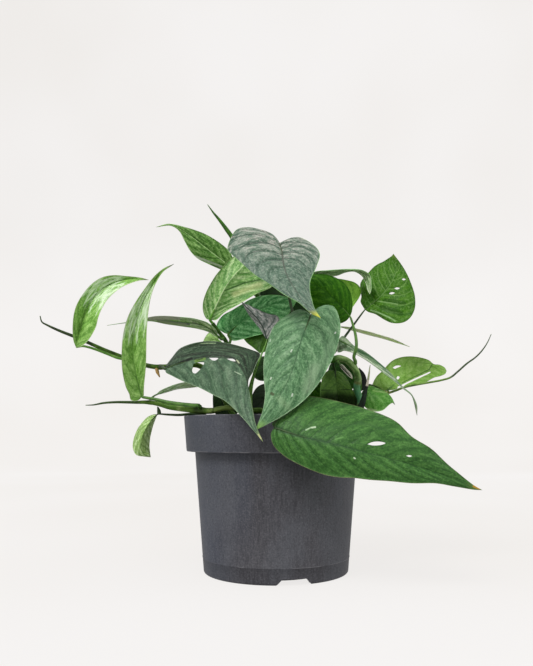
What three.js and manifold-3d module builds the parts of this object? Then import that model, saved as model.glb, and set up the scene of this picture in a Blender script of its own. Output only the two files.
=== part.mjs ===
// A potted cebu blue pothos: a black nursery pot filled with soil, seven stems and the
// leaves that they carry. Millimetres, +Z up, origin at the centre of the pot's base,
// front towards -Y.
import * as THREE from "three";
import { mergeVertices } from "three/addons/utils/BufferGeometryUtils.js";
import Module from "manifold-3d";

const wasm = await Module();
wasm.setup();

// Driving dimensions of the pot
const RIM_RADIUS = 75;
const POT_HEIGHT = 127;
const COLLAR_HEIGHT = 28.5;
const COLLAR_TAPER = 2;
const LEDGE_RADIUS = 66.2;
const BASE_RADIUS = 59.2;
const WALL = 1.6;
const BASE_ROUNDING = 2.2;
const LIP_ROUNDING = 0.6;
const FLOOR_FILLET = 3;
const CHANNEL_INNER = 40;
const CHANNEL_OUTER = 53;
const CHANNEL_DEPTH = 5;
const POT_SIDES = 36;

// Drainage notches in the foot ring, with a drain hole behind each
const NOTCH_COUNT = 3;
const NOTCH_AZIMUTH = -76.3;
const NOTCH_WIDTH = 27.5;
const NOTCH_TOP_WIDTH = 18.7;
const DRAIN_RADIUS = 4.5;
const DRAIN_SIDES = 10;

// Soil
const SOIL_TOP = 112;
const SOIL_MOUND = 2;
const SOIL_SLOPE = 12;
const HOLE_SIDES = 8;
const CLEARANCE = 0.3;
const ROOT_DEPTH = 8;
const HOLE_PLAY = 0.6;

// Leaves and stems
const BLADE_THICKNESS = 0.7;
const PETIOLE_RADIUS = 1.15;
const STALK_SIDES = 5;
const STALK_STEP = 11;
const STEM_SIDES = 7;
const ROW_CROWDING = 1.3;

// The plant is laid out as it is seen from an eye level with the pot's rim. A place is
// [x, z, depth]: across and up in the plane of the pot's axis, and how far behind it.
const EYE_DISTANCE = 580;
const EYE_HEIGHT = 114;

function seen([x, z, depth]) {
  const scale = 1 + depth / EYE_DISTANCE;
  return new THREE.Vector3(x * scale, depth, EYE_HEIGHT + (z - EYE_HEIGHT) * scale);
}

function asSeen(point) {
  const scale = 1 + point.y / EYE_DISTANCE;
  return [point.x / scale, EYE_HEIGHT + (point.z - EYE_HEIGHT) / scale];
}

const spline = (points) => new THREE.CatmullRomCurve3(points, false, "centripetal");

// Solids

function toSolid(geometry) {
  const bare = new THREE.BufferGeometry();
  bare.setAttribute("position", geometry.getAttribute("position"));
  if (geometry.index) bare.setIndex(geometry.index);
  const merged = mergeVertices(bare, 1e-3);
  return new wasm.Manifold(
    new wasm.Mesh({
      numProp: 3,
      vertProperties: merged.attributes.position.array,
      triVerts: new Uint32Array(merged.index.array),
    }),
  );
}

function toGeometry(solid) {
  const mesh = solid.getMesh();
  const positions = new Float32Array(mesh.numVert * 3);
  for (let i = 0; i < mesh.numVert; i++) {
    const start = i * mesh.numProp;
    positions.set(mesh.vertProperties.subarray(start, start + 3), i * 3);
  }
  const geometry = new THREE.BufferGeometry();
  geometry.setAttribute("position", new THREE.BufferAttribute(positions, 3));
  geometry.setIndex(new THREE.BufferAttribute(mesh.triVerts, 1));
  geometry.computeVertexNormals();
  return geometry;
}

function closedGeometry(points, faces) {
  const geometry = new THREE.BufferGeometry();
  geometry.setFromPoints(points);
  geometry.setIndex(faces);
  return geometry;
}

// A straight prism between two like outlines, the first one in front of the second
function prism(first, second) {
  const flat = first.map((p) => new THREE.Vector2(p.x, p.z));
  if (THREE.ShapeUtils.isClockWise(flat)) {
    return prism([...first].reverse(), [...second].reverse());
  }
  const count = first.length;
  const faces = [];
  for (let i = 0; i < count; i++) {
    const next = (i + 1) % count;
    faces.push(i, count + i, count + next, i, count + next, next);
  }
  for (const [a, b, c] of THREE.ShapeUtils.triangulateShape(flat, [])) {
    faces.push(a, b, c, count + a, count + c, count + b);
  }
  return toSolid(closedGeometry([...first, ...second], faces));
}

// A tapered round stalk along a curve; radii are spread evenly along it
function stalk(curve, radii, sides, steps) {
  const { normals, binormals } = curve.computeFrenetFrames(steps, false);
  const points = [];
  const faces = [];
  for (let i = 0; i <= steps; i++) {
    const centre = curve.getPointAt(i / steps);
    const radius = along(radii, i / steps);
    for (let j = 0; j < sides; j++) {
      const angle = (2 * Math.PI * j) / sides;
      points.push(
        centre
          .clone()
          .addScaledVector(normals[i], radius * Math.cos(angle))
          .addScaledVector(binormals[i], radius * Math.sin(angle)),
      );
    }
  }
  const ring = (i, j) => i * sides + (j % sides);
  for (let i = 0; i < steps; i++) {
    for (let j = 0; j < sides; j++) {
      faces.push(ring(i, j), ring(i + 1, j + 1), ring(i + 1, j));
      faces.push(ring(i, j), ring(i, j + 1), ring(i + 1, j + 1));
    }
  }
  for (let j = 1; j < sides - 1; j++) {
    faces.push(ring(0, 0), ring(0, j + 1), ring(0, j));
    faces.push(ring(steps, 0), ring(steps, j), ring(steps, j + 1));
  }
  const solid = toSolid(closedGeometry(points, faces));
  if (solid.volume() > 0) return solid;
  for (let i = 0; i < faces.length; i += 3) {
    [faces[i + 1], faces[i + 2]] = [faces[i + 2], faces[i + 1]];
  }
  return toSolid(closedGeometry(points, faces));
}

function along(values, share) {
  const place = share * (values.length - 1);
  const index = Math.min(Math.floor(place), values.length - 2);
  return THREE.MathUtils.lerp(values[index], values[index + 1], place - index);
}

// The pot

function potSolid() {
  const collarFoot = POT_HEIGHT - COLLAR_HEIGHT;
  const collarRadius = RIM_RADIUS - COLLAR_TAPER;
  const floor = CHANNEL_DEPTH + WALL;
  const outline = [
    [0, 0],
    [CHANNEL_INNER, 0],
    [CHANNEL_INNER, CHANNEL_DEPTH],
    [CHANNEL_OUTER, CHANNEL_DEPTH],
    [CHANNEL_OUTER, 0],
    [BASE_RADIUS - BASE_ROUNDING, 0],
    [BASE_RADIUS - BASE_ROUNDING * 0.3, BASE_ROUNDING * 0.3],
    [BASE_RADIUS, BASE_ROUNDING],
    [LEDGE_RADIUS, collarFoot],
    [collarRadius - LIP_ROUNDING, collarFoot],
    [collarRadius, collarFoot + LIP_ROUNDING],
    [RIM_RADIUS, POT_HEIGHT - LIP_ROUNDING],
    [RIM_RADIUS - LIP_ROUNDING, POT_HEIGHT],
    [RIM_RADIUS - WALL, POT_HEIGHT],
    [collarRadius - WALL, collarFoot + WALL],
    [LEDGE_RADIUS - WALL, collarFoot + WALL],
    [BASE_RADIUS - WALL, floor + FLOOR_FILLET],
    [BASE_RADIUS - WALL - FLOOR_FILLET, floor],
    [0, floor],
  ];
  let pot = turned(outline);
  for (let i = 0; i < NOTCH_COUNT; i++) {
    const azimuth = THREE.MathUtils.degToRad(NOTCH_AZIMUTH + (360 / NOTCH_COUNT) * i);
    pot = pot.subtract(notch(azimuth)).subtract(drain(azimuth));
  }
  return pot;
}

// A solid of revolution about the upright axis, from [radius, z] points
function turned(outline) {
  const profile = outline.map(([radius, z]) => new THREE.Vector2(radius, z));
  const lathe = new THREE.LatheGeometry(profile, POT_SIDES);
  lathe.rotateX(Math.PI / 2);
  return toSolid(lathe);
}

// An upright cylinder between two heights
function post(x, y, radius, low, high, sides) {
  const cylinder = new THREE.CylinderGeometry(radius, radius, high - low, sides);
  cylinder.rotateX(Math.PI / 2);
  cylinder.translate(x, y, (low + high) / 2);
  return toSolid(cylinder);
}

function radial(azimuth, radius, across, z) {
  return new THREE.Vector3(
    radius * Math.cos(azimuth) - across * Math.sin(azimuth),
    radius * Math.sin(azimuth) + across * Math.cos(azimuth),
    z,
  );
}

function notch(azimuth) {
  const half = NOTCH_WIDTH / 2;
  const halfTop = NOTCH_TOP_WIDTH / 2;
  const shape = [
    [-half, 0],
    [half, 0],
    [halfTop, CHANNEL_DEPTH],
    [-halfTop, CHANNEL_DEPTH],
  ];
  const at = (radius) => shape.map(([across, z]) => radial(azimuth, radius, across, z));
  return box(at(CHANNEL_OUTER - WALL), at(LEDGE_RADIUS));
}

// A solid between two four-cornered faces
function box(inner, outer) {
  const faces = [0, 1, 2, 0, 2, 3, 4, 6, 5, 4, 7, 6];
  for (let i = 0; i < 4; i++) {
    const next = (i + 1) % 4;
    faces.push(i, 4 + i, 4 + next, i, 4 + next, next);
  }
  const solid = toSolid(closedGeometry([...inner, ...outer], faces));
  if (solid.volume() > 0) return solid;
  return toSolid(closedGeometry([...outer, ...inner], faces));
}

function drain(azimuth) {
  const { x, y } = radial(azimuth, (CHANNEL_INNER + CHANNEL_OUTER) / 2, 0, 0);
  return post(x, y, DRAIN_RADIUS, 0, CHANNEL_DEPTH + 2 * WALL, DRAIN_SIDES);
}

function soilSolid(holes) {
  const floor = CHANNEL_DEPTH + WALL + CLEARANCE;
  const collarFoot = POT_HEIGHT - COLLAR_HEIGHT + WALL + CLEARANCE;
  const collarRadius = RIM_RADIUS - COLLAR_TAPER - WALL - CLEARANCE;
  const ledge = LEDGE_RADIUS - WALL - CLEARANCE;
  const outline = [
    [0, floor],
    [BASE_RADIUS - WALL - FLOOR_FILLET - CLEARANCE, floor],
    [BASE_RADIUS - WALL - CLEARANCE, floor + FLOOR_FILLET],
    [ledge, collarFoot],
    [collarRadius, collarFoot],
    [collarRadius, SOIL_TOP - SOIL_MOUND],
    [collarRadius - SOIL_SLOPE, SOIL_TOP],
    [0, SOIL_TOP],
  ];
  let soil = turned(outline);
  const bottom = SOIL_TOP - ROOT_DEPTH - CLEARANCE;
  for (const { root, radius } of holes) {
    soil = soil.subtract(post(...root, radius + HOLE_PLAY, bottom, POT_HEIGHT, HOLE_SIDES));
  }
  return soil;
}

// The straight foot of a stem that stands in the soil at [x, y]
function footing([x, y]) {
  return [-ROOT_DEPTH, -1, 6].map((rise) => new THREE.Vector3(x, y, SOIL_TOP + rise));
}

// Stems. root is where a stem stands in the soil, and route is where it is seen; the
// last points of a route are the rolled young leaf at the growing tip.

const stems = [
  {
    name: "stem_left_upper",
    colour: 0x3a5a1e,
    root: [-30, -6],
    radii: [
      2.2, 2.2, 2.2, 2.2, 2.2, 2.1, 2.1, 2, 1.8, 1.6, 1.5, 1.4, 1.3, 1, 0.4,
    ],
    steps: 26,
    route: [
      [-40, 136, -4], [-50, 154, -6], [-57, 164.3, -8], [-64, 168.7, -9], [-74, 169, -9],
      [-86, 168, -9], [-97, 167.4, -8], [-107, 168.9, -8], [-118, 173, -7], [-128, 176.4, -6],
      [-140, 181.1, -6], [-150, 185.5, -6], [-163, 191.3, -7], [-178, 197.2, -8], [-188, 201.8, -9],
      [-192.6, 204.6, -9], [-194, 209.3, -10],
    ],
    twigs: [
      { from: [-98.2, 167.2, -8], to: [-97.6, 163.6, -9], end: [-95.7, 159.2, -10], radius: 1.6 },
    ],
  },
  {
    name: "stem_left_lower",
    colour: 0x5b7a2a,
    root: [-2, -38],
    radii: [
      1.9, 1.9, 1.9, 2, 2.1, 1.9, 2.3, 2.5, 2.7, 2.5, 2, 1.6, 1.2, 1, 0.8, 0.3,
    ],
    steps: 26,
    route: [
      [-10, 131, -50], [-20, 131.8, -52], [-30, 133, -52], [-40, 133.9, -50], [-46, 133, -46],
      [-51, 131.6, -41], [-57, 131.3, -35], [-64, 131.9, -29], [-72, 132.8, -23], [-80, 133.7, -19],
      [-88, 134.7, -16], [-96, 136.9, -15], [-104, 138.3, -15], [-118, 138.4, -14],
      [-132, 138.5, -14], [-142, 137.8, -14], [-150, 136.3, -14], [-156.5, 136, -14],
    ],
  },
  {
    name: "stem_right_lower",
    colour: 0x56722c,
    root: [42, 14],
    radii: [
      1.7, 1.6, 1.5, 1.3, 1.1, 1, 0.9, 0.85, 0.8, 0.75, 0.6, 0.25,
    ],
    steps: 23,
    route: [
      [54, 132, 9], [60, 141, 8], [66, 149.5, 7], [72, 152.8, 6], [78, 152.2, 4], [85, 149.8, 2],
      [91.5, 146.3, 0], [98, 147.9, -2], [105, 150.6, -4], [115, 152.8, -5], [127, 154.9, -6],
      [137, 156.8, -6], [143.5, 158.9, -6], [150, 164.1, -7], [157, 170.3, -8], [164.5, 175.8, -9],
      [170, 181.7, -9], [174, 187.8, -10], [177, 194.5, -10],
    ],
  },
  {
    name: "stem_centre",
    colour: 0x3f6a24,
    root: [4, 16],
    radii: [
      2.2, 2.2, 2.2, 2.1, 2.1, 2, 2, 1.9, 1.8, 1.7, 1.6, 1.5, 1.4, 1.9, 1.8, 1.1, 0.25,
    ],
    steps: 22,
    route: [
      [6, 135, 16], [8, 155, 16], [5, 178, 16], [-3, 200, 15], [-12, 218, 14], [-19, 235, 12],
      [-25, 250, 10], [-30.6, 263.3, 8], [-36.3, 274.3, 6], [-41.3, 281.4, 5], [-46.5, 288.3, 4],
      [-51.8, 294.7, 4], [-56.3, 301, 4],
    ],
  },
  {
    name: "stem_left_back",
    colour: 0x35571c,
    root: [-26, 14],
    radii: [
      2, 2, 1.9, 1.8, 1.7, 1.5,
    ],
    steps: 14,
    route: [
      [-30, 135, 12], [-37, 152, 9], [-43.5, 165, 7], [-43.5, 174, 6], [-40.5, 183, 4],
      [-41, 188, 3], [-44, 192.5, 1], [-48, 197.5, -1], [-52, 203, -3],
    ],
  },
  {
    name: "stem_right_arch",
    colour: 0x4a6b35,
    root: [60, -10],
    radii: [
      2.4, 2.5, 4.2, 4.8, 3, 2.6, 2.6, 2.6, 2.5, 2.3, 2.2, 2, 1.8,
    ],
    steps: 23,
    route: [
      [67.5, 134, -18], [67.9, 140, -20], [67, 146, -23], [66.4, 151, -24], [67.6, 157.5, -26],
      [65.8, 164, -28], [62, 169.7, -28], [57, 173.2, -28], [51.5, 174.4, -27], [46, 173.6, -25],
      [39, 172, -24], [32, 175, -26], [26, 184, -30], [21, 194, -34], [16, 203, -38],
    ],
  },
  {
    name: "stem_new_shoot",
    colour: 0x26331c,
    root: [55, -28],
    radii: [
      2.5, 2.5, 2.5, 2.6, 2.6, 1.9, 1.1, 0.8, 0.25,
    ],
    steps: 16,
    route: [
      [66, 129, -30], [70.3, 136, -31], [72.5, 143, -32], [73.8, 149, -32], [75, 153, -32],
      [76.2, 160, -32], [77.4, 169, -31],
    ],
  },
];

// Leaves. left and right are the margins from base to tip, as seen on the upper face
// with the tip up. from and near name the stem that a leaf grows from and where on it, or
// root is the place in the soil where it stands, and via leads from there to the blade.

const leaves = [
  {
    name: "leaf_top_heart",
    colour: 0x6e8273,
    rows: 14,
    spread: 1.6,
    from: "stem_right_arch",
    near: [16, 203],
    via: [
      [13.6, 212, -41], [11, 224, -40], [7, 243, -35], [4, 260, -34],
    ],
    midrib: [
      [2.6, 269.2, -40], [4.6, 263, -46], [5.4, 257.5, -52], [6.6, 249.7, -60], [11, 238.7, -70],
      [16.4, 230, -80], [23, 220, -88], [30, 212.5, -94], [36.8, 207.7, -97],
    ],
    left: [
      [6.6, 270.4, -36], [10.4, 272.2, -33], [16.5, 274.2, -32], [24.1, 271.7, -36], [32.6, 266.8, -42],
      [36, 259.6, -48], [33.5, 250.8, -56], [30.2, 243.1, -62], [28, 236.5, -68], [28.2, 230, -75],
      [29.1, 224.2, -82], [31.3, 216.8, -90], [34, 211.8, -94],
    ],
    right: [
      [0.5, 272, -36], [-6, 278, -31], [-16, 281.8, -29], [-23.2, 282.6, -30], [-32.1, 280.1, -34],
      [-38.8, 270, -43], [-39.7, 264, -48], [-35.4, 258.7, -53], [-21.1, 246.4, -62],
      [-4.5, 234.3, -74], [8.7, 226, -82], [18.7, 220.1, -88], [28.5, 211.6, -93],
    ],
  },
  {
    name: "leaf_centre",
    colour: 0x5f8465,
    rows: 14,
    spread: 1.6,
    from: "stem_right_arch",
    near: [27, 182],
    via: [
      [30, 194, -46], [30.5, 204, -60],
    ],
    midrib: [
      [28.8, 210.2, -74], [27.5, 207.2, -77], [22, 192.9, -82], [17.5, 178.5, -85],
      [12, 160.9, -87], [4.1, 145.5, -88], [-4.5, 130, -90], [-16.6, 115.6, -91],
    ],
    left: [
      [31.5, 213.8, -70], [35.1, 216, -66], [40.6, 218.7, -60], [47.3, 217, -58],
      [52.2, 206.1, -62], [52.8, 196.2, -68], [48.4, 178.5, -77], [37.3, 157.6, -84],
      [23, 140, -87], [6.6, 128, -89], [-10, 118.9, -90.5],
    ],
    right: [
      [26, 212, -71], [17.3, 214.3, -64], [6.6, 208.6, -62], [-2.5, 199.5, -66], [-6.6, 188.4, -70],
      [-10, 173.2, -76], [-10, 156.8, -81], [-9, 145.3, -85], [-11.1, 131.3, -89],
      [-14.8, 121, -90.5],
    ],
  },
  {
    name: "leaf_front_right",
    colour: 0x3f743e,
    rows: 14,
    spread: 1.5,
    root: [16, -42],
    via: [
      [15, 128, -58], [11, 132.4, -70], [5, 130, -80], [0, 122.5, -84],
    ],
    midrib: [
      [-1.2, 117.7, -86], [7, 114.8, -89], [20.6, 110.2, -93], [43.6, 105.1, -97], [62.5, 100, -99],
      [81.4, 95.1, -99], [100.3, 90.2, -98], [125, 82.7, -95], [150.5, 73.7, -91],
      [169.6, 66.2, -87],
    ],
    left: [
      [-3.2, 120.7, -84], [3, 126.5, -82], [12, 132.9, -80], [24.7, 142.4, -77], [34.5, 142.9, -76],
      [57.3, 137.3, -76], [72.4, 133.8, -79], [87.8, 127.8, -83], [100.8, 121, -87],
      [112.7, 109.6, -91], [129.1, 98.9, -92], [145.6, 83.7, -91], [163.1, 69.9, -88],
    ],
    right: [
      [-3.9, 113, -86], [-3.7, 108, -87], [-1.8, 102.7, -88], [5.8, 95.1, -90], [20.6, 86.3, -93],
      [37, 80, -96], [52.3, 76.4, -98], [65, 76, -99], [87.6, 73.8, -100], [112.7, 71.9, -98],
      [131.6, 71.6, -95], [148, 69, -91], [162.8, 66.5, -88],
    ],
    holes: [
      [
        [75.2, 104], [79, 105.6], [85, 106.1], [90, 104.8], [86, 103.3], [79, 103],
      ],
      [
        [107, 94.5], [109.5, 95], [111.8, 94.2], [109.5, 93.4],
      ],
    ],
  },
  {
    name: "leaf_left_holed",
    colour: 0x4b5f50,
    rows: 14,
    spread: 1.3,
    from: "stem_left_upper",
    near: [-95, 168.8],
    via: [
      [-93.5, 167.6, -17],
    ],
    midrib: [
      [-91, 165.8, -24], [-80, 170, -32], [-66.6, 173.6, -42], [-50.2, 175.2, -53],
      [-36.2, 172.6, -62], [-27.1, 163.5, -71], [-22.6, 150, -79], [-19.6, 134, -87],
      [-16.4, 119, -94], [-10.7, 105.8, -99],
    ],
    left: [
      [-90, 169, -20], [-85, 176, -17], [-80, 182.4, -18], [-72, 186, -21], [-58, 188.2, -25],
      [-45, 187.8, -31], [-34, 186, -37], [-20, 181.5, -45], [-12.8, 177.6, -51], [-16, 170, -59],
      [-19, 163.3, -66], [-22.8, 156, -74], [-22, 144, -82], [-20, 133, -88], [-17.2, 120, -94],
    ],
    right: [
      [-90.4, 162.8, -28], [-85, 159.8, -36], [-78, 156.5, -44], [-66, 151.4, -56],
      [-52.6, 145.3, -68], [-42.3, 139.5, -77], [-34.5, 132.9, -84], [-26.3, 124.4, -91],
      [-19, 115.6, -96],
    ],
    holes: [
      [
        [-69, 165], [-68.5, 163], [-66.6, 162.1], [-64.5, 163.4], [-62, 166], [-60, 168.8],
        [-59.2, 171], [-62, 171.3], [-66, 170.8], [-68.2, 169.3], [-68.4, 167],
      ],
      [
        [-55, 175], [-52.5, 173], [-50, 172.8], [-47.5, 174.6],
      ],
      [
        [-40.5, 174.3], [-37, 172.6], [-33.3, 172.2], [-35, 174],
      ],
    ],
  },
  {
    name: "leaf_far_left_arched",
    colour: 0x8fae7c,
    rows: 10,
    spread: 1.15,
    from: "stem_left_upper",
    near: [-125, 175],
    via: [
      [-131, 175.2, -10], [-136, 177.2, -10], [-144.5, 180.5, -10], [-153, 183.4, -10],
      [-159, 184.6, -11],
    ],
    midrib: [
      [-164.6, 184, -12], [-161.5, 197, -16], [-158.5, 208, -19], [-154, 219, -20], [-147, 228, -19],
      [-138, 234.5, -17], [-127, 238.6, -15], [-115, 240.2, -12], [-104.5, 239, -9],
    ],
    left: [
      [-166.4, 188.6, -14], [-167.5, 198, -20], [-166.6, 208, -26], [-164, 218, -28],
      [-159, 227.5, -28], [-152, 235.5, -26], [-143, 241, -23], [-133, 243, -20],
      [-122, 242.2, -16], [-111, 240.9, -11],
    ],
    right: [
      [-161.3, 183.8, -15], [-156.2, 187.4, -22], [-152, 193.3, -27], [-148, 200.8, -29],
      [-145.8, 208.8, -29], [-142.4, 217, -28], [-137.6, 224.4, -26], [-130.5, 230.6, -23],
      [-121.8, 235.4, -18], [-112, 238.6, -12],
    ],
  },
  {
    name: "leaf_left_upright",
    colour: 0x8aa97a,
    rows: 10,
    spread: 1.1,
    petiole: 1.6,
    from: "stem_left_lower",
    near: [-60.5, 132],
    via: [
      [-62.5, 135.4, -36], [-70, 136, -31.5], [-80, 137.1, -27], [-90, 138.7, -24],
      [-98, 140.6, -22.5], [-103, 141.5, -21.5], [-107, 142.2, -21],
    ],
    midrib: [
      [-110.2, 143, -20], [-112.8, 152, -22], [-116, 165, -24], [-117.6, 180, -25],
      [-116.8, 195, -25], [-113.5, 209, -24], [-108.6, 222, -22], [-102, 234, -18], [-94, 245, -14],
      [-84, 252.2, -10],
    ],
    left: [
      [-113.5, 140, -21], [-119.4, 140.2, -22], [-120.8, 145, -24], [-123.4, 150.5, -26], [-126, 162, -29],
      [-127, 177, -31], [-126, 193, -31], [-122, 208, -30], [-115.5, 221, -27], [-108, 232, -23],
      [-99.5, 242.6, -18], [-92, 248.8, -13],
    ],
    right: [
      [-108.9, 143.6, -21], [-108.7, 147, -23], [-108.4, 153, -26], [-107.2, 166, -29],
      [-106.6, 182, -31], [-106.3, 198, -31], [-105, 213, -29], [-102.8, 225, -26],
      [-98.8, 236.5, -21], [-92.5, 246, -15],
    ],
  },
  {
    name: "leaf_left_curled",
    colour: 0x7f9c56,
    rows: 9,
    spread: 1.15,
    petiole: 1.4,
    root: [-46, 2],
    via: [
      [-56, 126.5, 2], [-64, 128.8, 1], [-72, 128.6, 0], [-80, 128, -4], [-89, 128.3, -8],
    ],
    midrib: [
      [-97.5, 128.6, -13], [-103, 123, -18], [-108.5, 114, -22], [-111.5, 105, -23],
      [-110, 97.5, -20], [-103, 93.2, -15],
    ],
    left: [
      [-98.8, 125.5, -12], [-101, 119.5, -11], [-103, 112, -10], [-104, 105, -10],
      [-103.9, 98.5, -12],
    ],
    right: [
      [-101, 128.3, -13], [-106, 126, -13], [-111, 120.6, -12], [-115, 114, -11],
      [-117.5, 106, -11], [-117.4, 99.5, -13], [-114.5, 95, -16], [-108.5, 93.8, -17],
    ],
    twigs: [
      { from: [-96, 128.2, -13], to: [-96.3, 131.2, -13], end: [-97.3, 134.6, -13], radius: 1.7 },
    ],
  },
  {
    name: "leaf_left_narrow",
    colour: 0x76905c,
    rows: 8,
    spread: 1.1,
    petiole: 0.8,
    from: "stem_left_lower",
    near: [-104, 138.4],
    via: [
      [-103.5, 140.5, -8], [-101.3, 142.9, -7.5],
    ],
    midrib: [
      [-99.3, 144.2, -7], [-92, 147.4, -6], [-85, 150, -5], [-72, 152.8, -3], [-58, 154.8, 0],
      [-46, 155, 3],
    ],
    left: [
      [-95, 145.1, -4.5], [-90, 146.6, -1], [-83, 148.5, 4], [-72, 150.3, 7], [-58, 151.8, 7],
      [-50, 153.8, 5],
    ],
    right: [
      [-96, 147.3, -8.5], [-91, 150, -10.5], [-82, 153.4, -13], [-72, 155.2, -12], [-60, 156.4, -7],
      [-52, 156.2, -1],
    ],
  },
  {
    name: "leaf_left_edge_on",
    colour: 0x5f7d54,
    rows: 10,
    spread: 1.1,
    from: "stem_left_back",
    near: [-43.2, 191.5],
    via: [
      [-45, 190.5, -8],
    ],
    midrib: [
      [-47.5, 192.4, -13], [-55, 199.6, -14], [-65, 203, -14], [-78, 204.6, -13], [-92, 206.2, -11],
      [-105, 206.7, -8], [-118, 204.8, -6], [-139, 201.6, -4],
    ],
    left: [
      [-49.5, 198.3, -18], [-56, 204, -22], [-65, 206.7, -24], [-77, 208.2, -24], [-90, 209.7, -21],
      [-102, 208.7, -14], [-116, 205.5, -7.5],
    ],
    right: [
      [-51, 193.1, -7], [-57, 196.7, -2], [-66, 199.4, 3], [-77, 200.5, 5], [-89, 202.4, 4],
      [-101, 205, -1], [-116, 204.3, -4.5],
    ],
  },
  {
    name: "leaf_top_left",
    colour: 0x4f7a35,
    rows: 10,
    spread: 1.2,
    from: "stem_centre",
    near: [-19.5, 236],
    via: [
      [-26, 239, 15],
    ],
    midrib: [
      [-33, 245, 15], [-43, 254.2, 13], [-52, 261, 11], [-62, 268.8, 8], [-72, 276.4, 5],
      [-82, 282, 2], [-90, 284.5, 0], [-98.7, 282.4, -2],
    ],
    left: [
      [-38, 243.8, 18], [-46, 247.8, 17], [-55, 251.8, 14], [-65, 257, 11], [-71, 263.5, 8],
      [-75.5, 271.5, 5], [-79.5, 279, 3], [-86, 283.4, 1],
    ],
    right: [
      [-33.5, 252, 14], [-38.3, 262.3, 12], [-44.4, 268.2, 10], [-50.8, 272.6, 9],
      [-58.2, 276.8, 7], [-67, 280.2, 5], [-76, 282.8, 3], [-83, 284.6, 2], [-89, 285.2, 0.5],
    ],
  },
  {
    name: "leaf_light_underside",
    colour: 0x8fb25e,
    rows: 12,
    spread: 1.35,
    from: "stem_left_back",
    near: [-52, 203],
    via: [],
    midrib: [
      [-54.4, 206.6, -5], [-51, 214, -7], [-47.8, 221, -9], [-44, 229, -10], [-39, 237, -10],
      [-31, 246.5, -9], [-22, 254.5, -6], [-12, 261, -2],
    ],
    left: [
      [-49.6, 206, -5], [-42.5, 212.2, -7], [-29.6, 219.5, -10], [-16, 227.6, -11],
      [-4, 233.2, -10], [3, 240, -8], [3, 249, -5], [-3, 256.5, -3],
    ],
    right: [
      [-56.8, 206.8, -6], [-59.7, 212, -8], [-60.2, 219.3, -10], [-57, 230, -11],
      [-50.5, 241.5, -10], [-45, 248.2, -8], [-37, 257, -5], [-25, 262.5, -2],
    ],
  },
  {
    name: "leaf_left_middle",
    colour: 0x3f7444,
    rows: 10,
    spread: 1.4,
    from: "stem_left_back",
    near: [-40.6, 186],
    via: [
      [-37.5, 190, 8],
    ],
    midrib: [
      [-39.5, 194.5, 9], [-31, 202.5, 8], [-21, 210.5, 7], [-9, 217, 7], [4, 220.5, 8],
      [17, 221.5, 9],
    ],
    left: [
      [-43.5, 196, 9], [-48.8, 200.5, 9], [-47.6, 205, 8], [-43.5, 210, 7], [-36.5, 214, 6],
      [-29.6, 218.2, 5], [-21.7, 222.8, 5], [-12, 226, 6], [-2, 226.8, 7], [8, 225.2, 8],
    ],
    right: [
      [-38.5, 190.8, 10], [-35, 189, 10], [-28, 190.2, 9], [-20, 192.5, 9], [-10, 195, 8],
      [-1, 200, 8], [7, 207, 8], [13, 215, 9],
    ],
  },
  {
    name: "leaf_purple_folded",
    colour: 0x736b70,
    rows: 8,
    spread: 1.2,
    petiole: 1,
    root: [-20, -24],
    via: [
      [-20.6, 136, -34], [-20.2, 148, -37], [-18.3, 159, -38], [-15, 169.5, -38], [-11.8, 178, -36],
      [-9, 185, -33],
    ],
    midrib: [
      [-7.6, 189.6, -31], [-9.5, 197, -31], [-13.5, 205, -32], [-19.5, 212, -33], [-28.5, 221, -33],
    ],
    left: [
      [-4.6, 194, -31], [-1.5, 200.5, -31], [2.8, 206, -29], [1, 209.5, -29], [-7, 211.5, -29],
      [-15.5, 215.2, -31], [-23, 218.7, -32],
    ],
    right: [
      [-9.3, 192.6, -29], [-13.2, 198.6, -28], [-18, 204.5, -28], [-22.2, 210, -29],
      [-25.6, 215.6, -31],
    ],
    twigs: [
      { from: [-20.6, 118, -30], to: [-21.4, 148, -37], end: [-17.4, 165, -38.5], radius: 2.2 },
    ],
  },
  {
    name: "leaf_olive_behind",
    colour: 0x40591c,
    rows: 8,
    spread: 1.3,
    from: "stem_centre",
    near: [-2.6, 199],
    via: [],
    midrib: [
      [-8, 199.5, 12.5], [-10.5, 192, 11], [-12.6, 185.5, 9], [-13.4, 178.8, 7],
    ],
    left: [
      [-13, 200.5, 12.5], [-22, 197.5, 11.5], [-26.8, 191.8, 10], [-24.5, 188, 9], [-19.5, 184, 8],
      [-15.5, 180.6, 7],
    ],
    right: [
      [-4, 198.5, 12], [1, 195, 11], [2.5, 190, 10], [-1, 184.5, 9], [-8, 180.4, 7.5],
    ],
  },
  {
    name: "leaf_light_small",
    colour: 0x87a866,
    rows: 7,
    spread: 1.2,
    petiole: 0.9,
    from: "stem_left_back",
    near: [-41, 184.5],
    via: [],
    midrib: [
      [-46.5, 189, 9], [-52, 189, 12], [-57, 185, 14], [-58.5, 178, 15],
    ],
    left: [
      [-45, 186, 11], [-47, 181, 13], [-52, 177.5, 15],
    ],
    right: [
      [-49, 193.5, 9], [-54.5, 196, 11], [-59.5, 189.5, 13], [-61, 182.5, 14],
    ],
  },
  {
    name: "leaf_right_dark",
    colour: 0x2b4f16,
    rows: 10,
    spread: 1.45,
    petiole: 1.3,
    from: "stem_right_arch",
    near: [62.5, 168.2],
    via: [
      [64, 175, -31], [66, 183, -31], [65.8, 191, -28], [63.7, 200.5, -20],
    ],
    midrib: [
      [60.8, 209, -12], [54, 217, -13], [45.5, 225.5, -14], [36, 232.5, -14], [24, 237.5, -12],
      [14, 239, -10],
    ],
    left: [
      [57.5, 205.3, -12], [51.5, 203, -12], [42, 204, -12], [32.5, 209.5, -12], [26.5, 217.5, -12],
      [21.5, 227.5, -11], [18, 234.5, -10],
    ],
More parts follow.
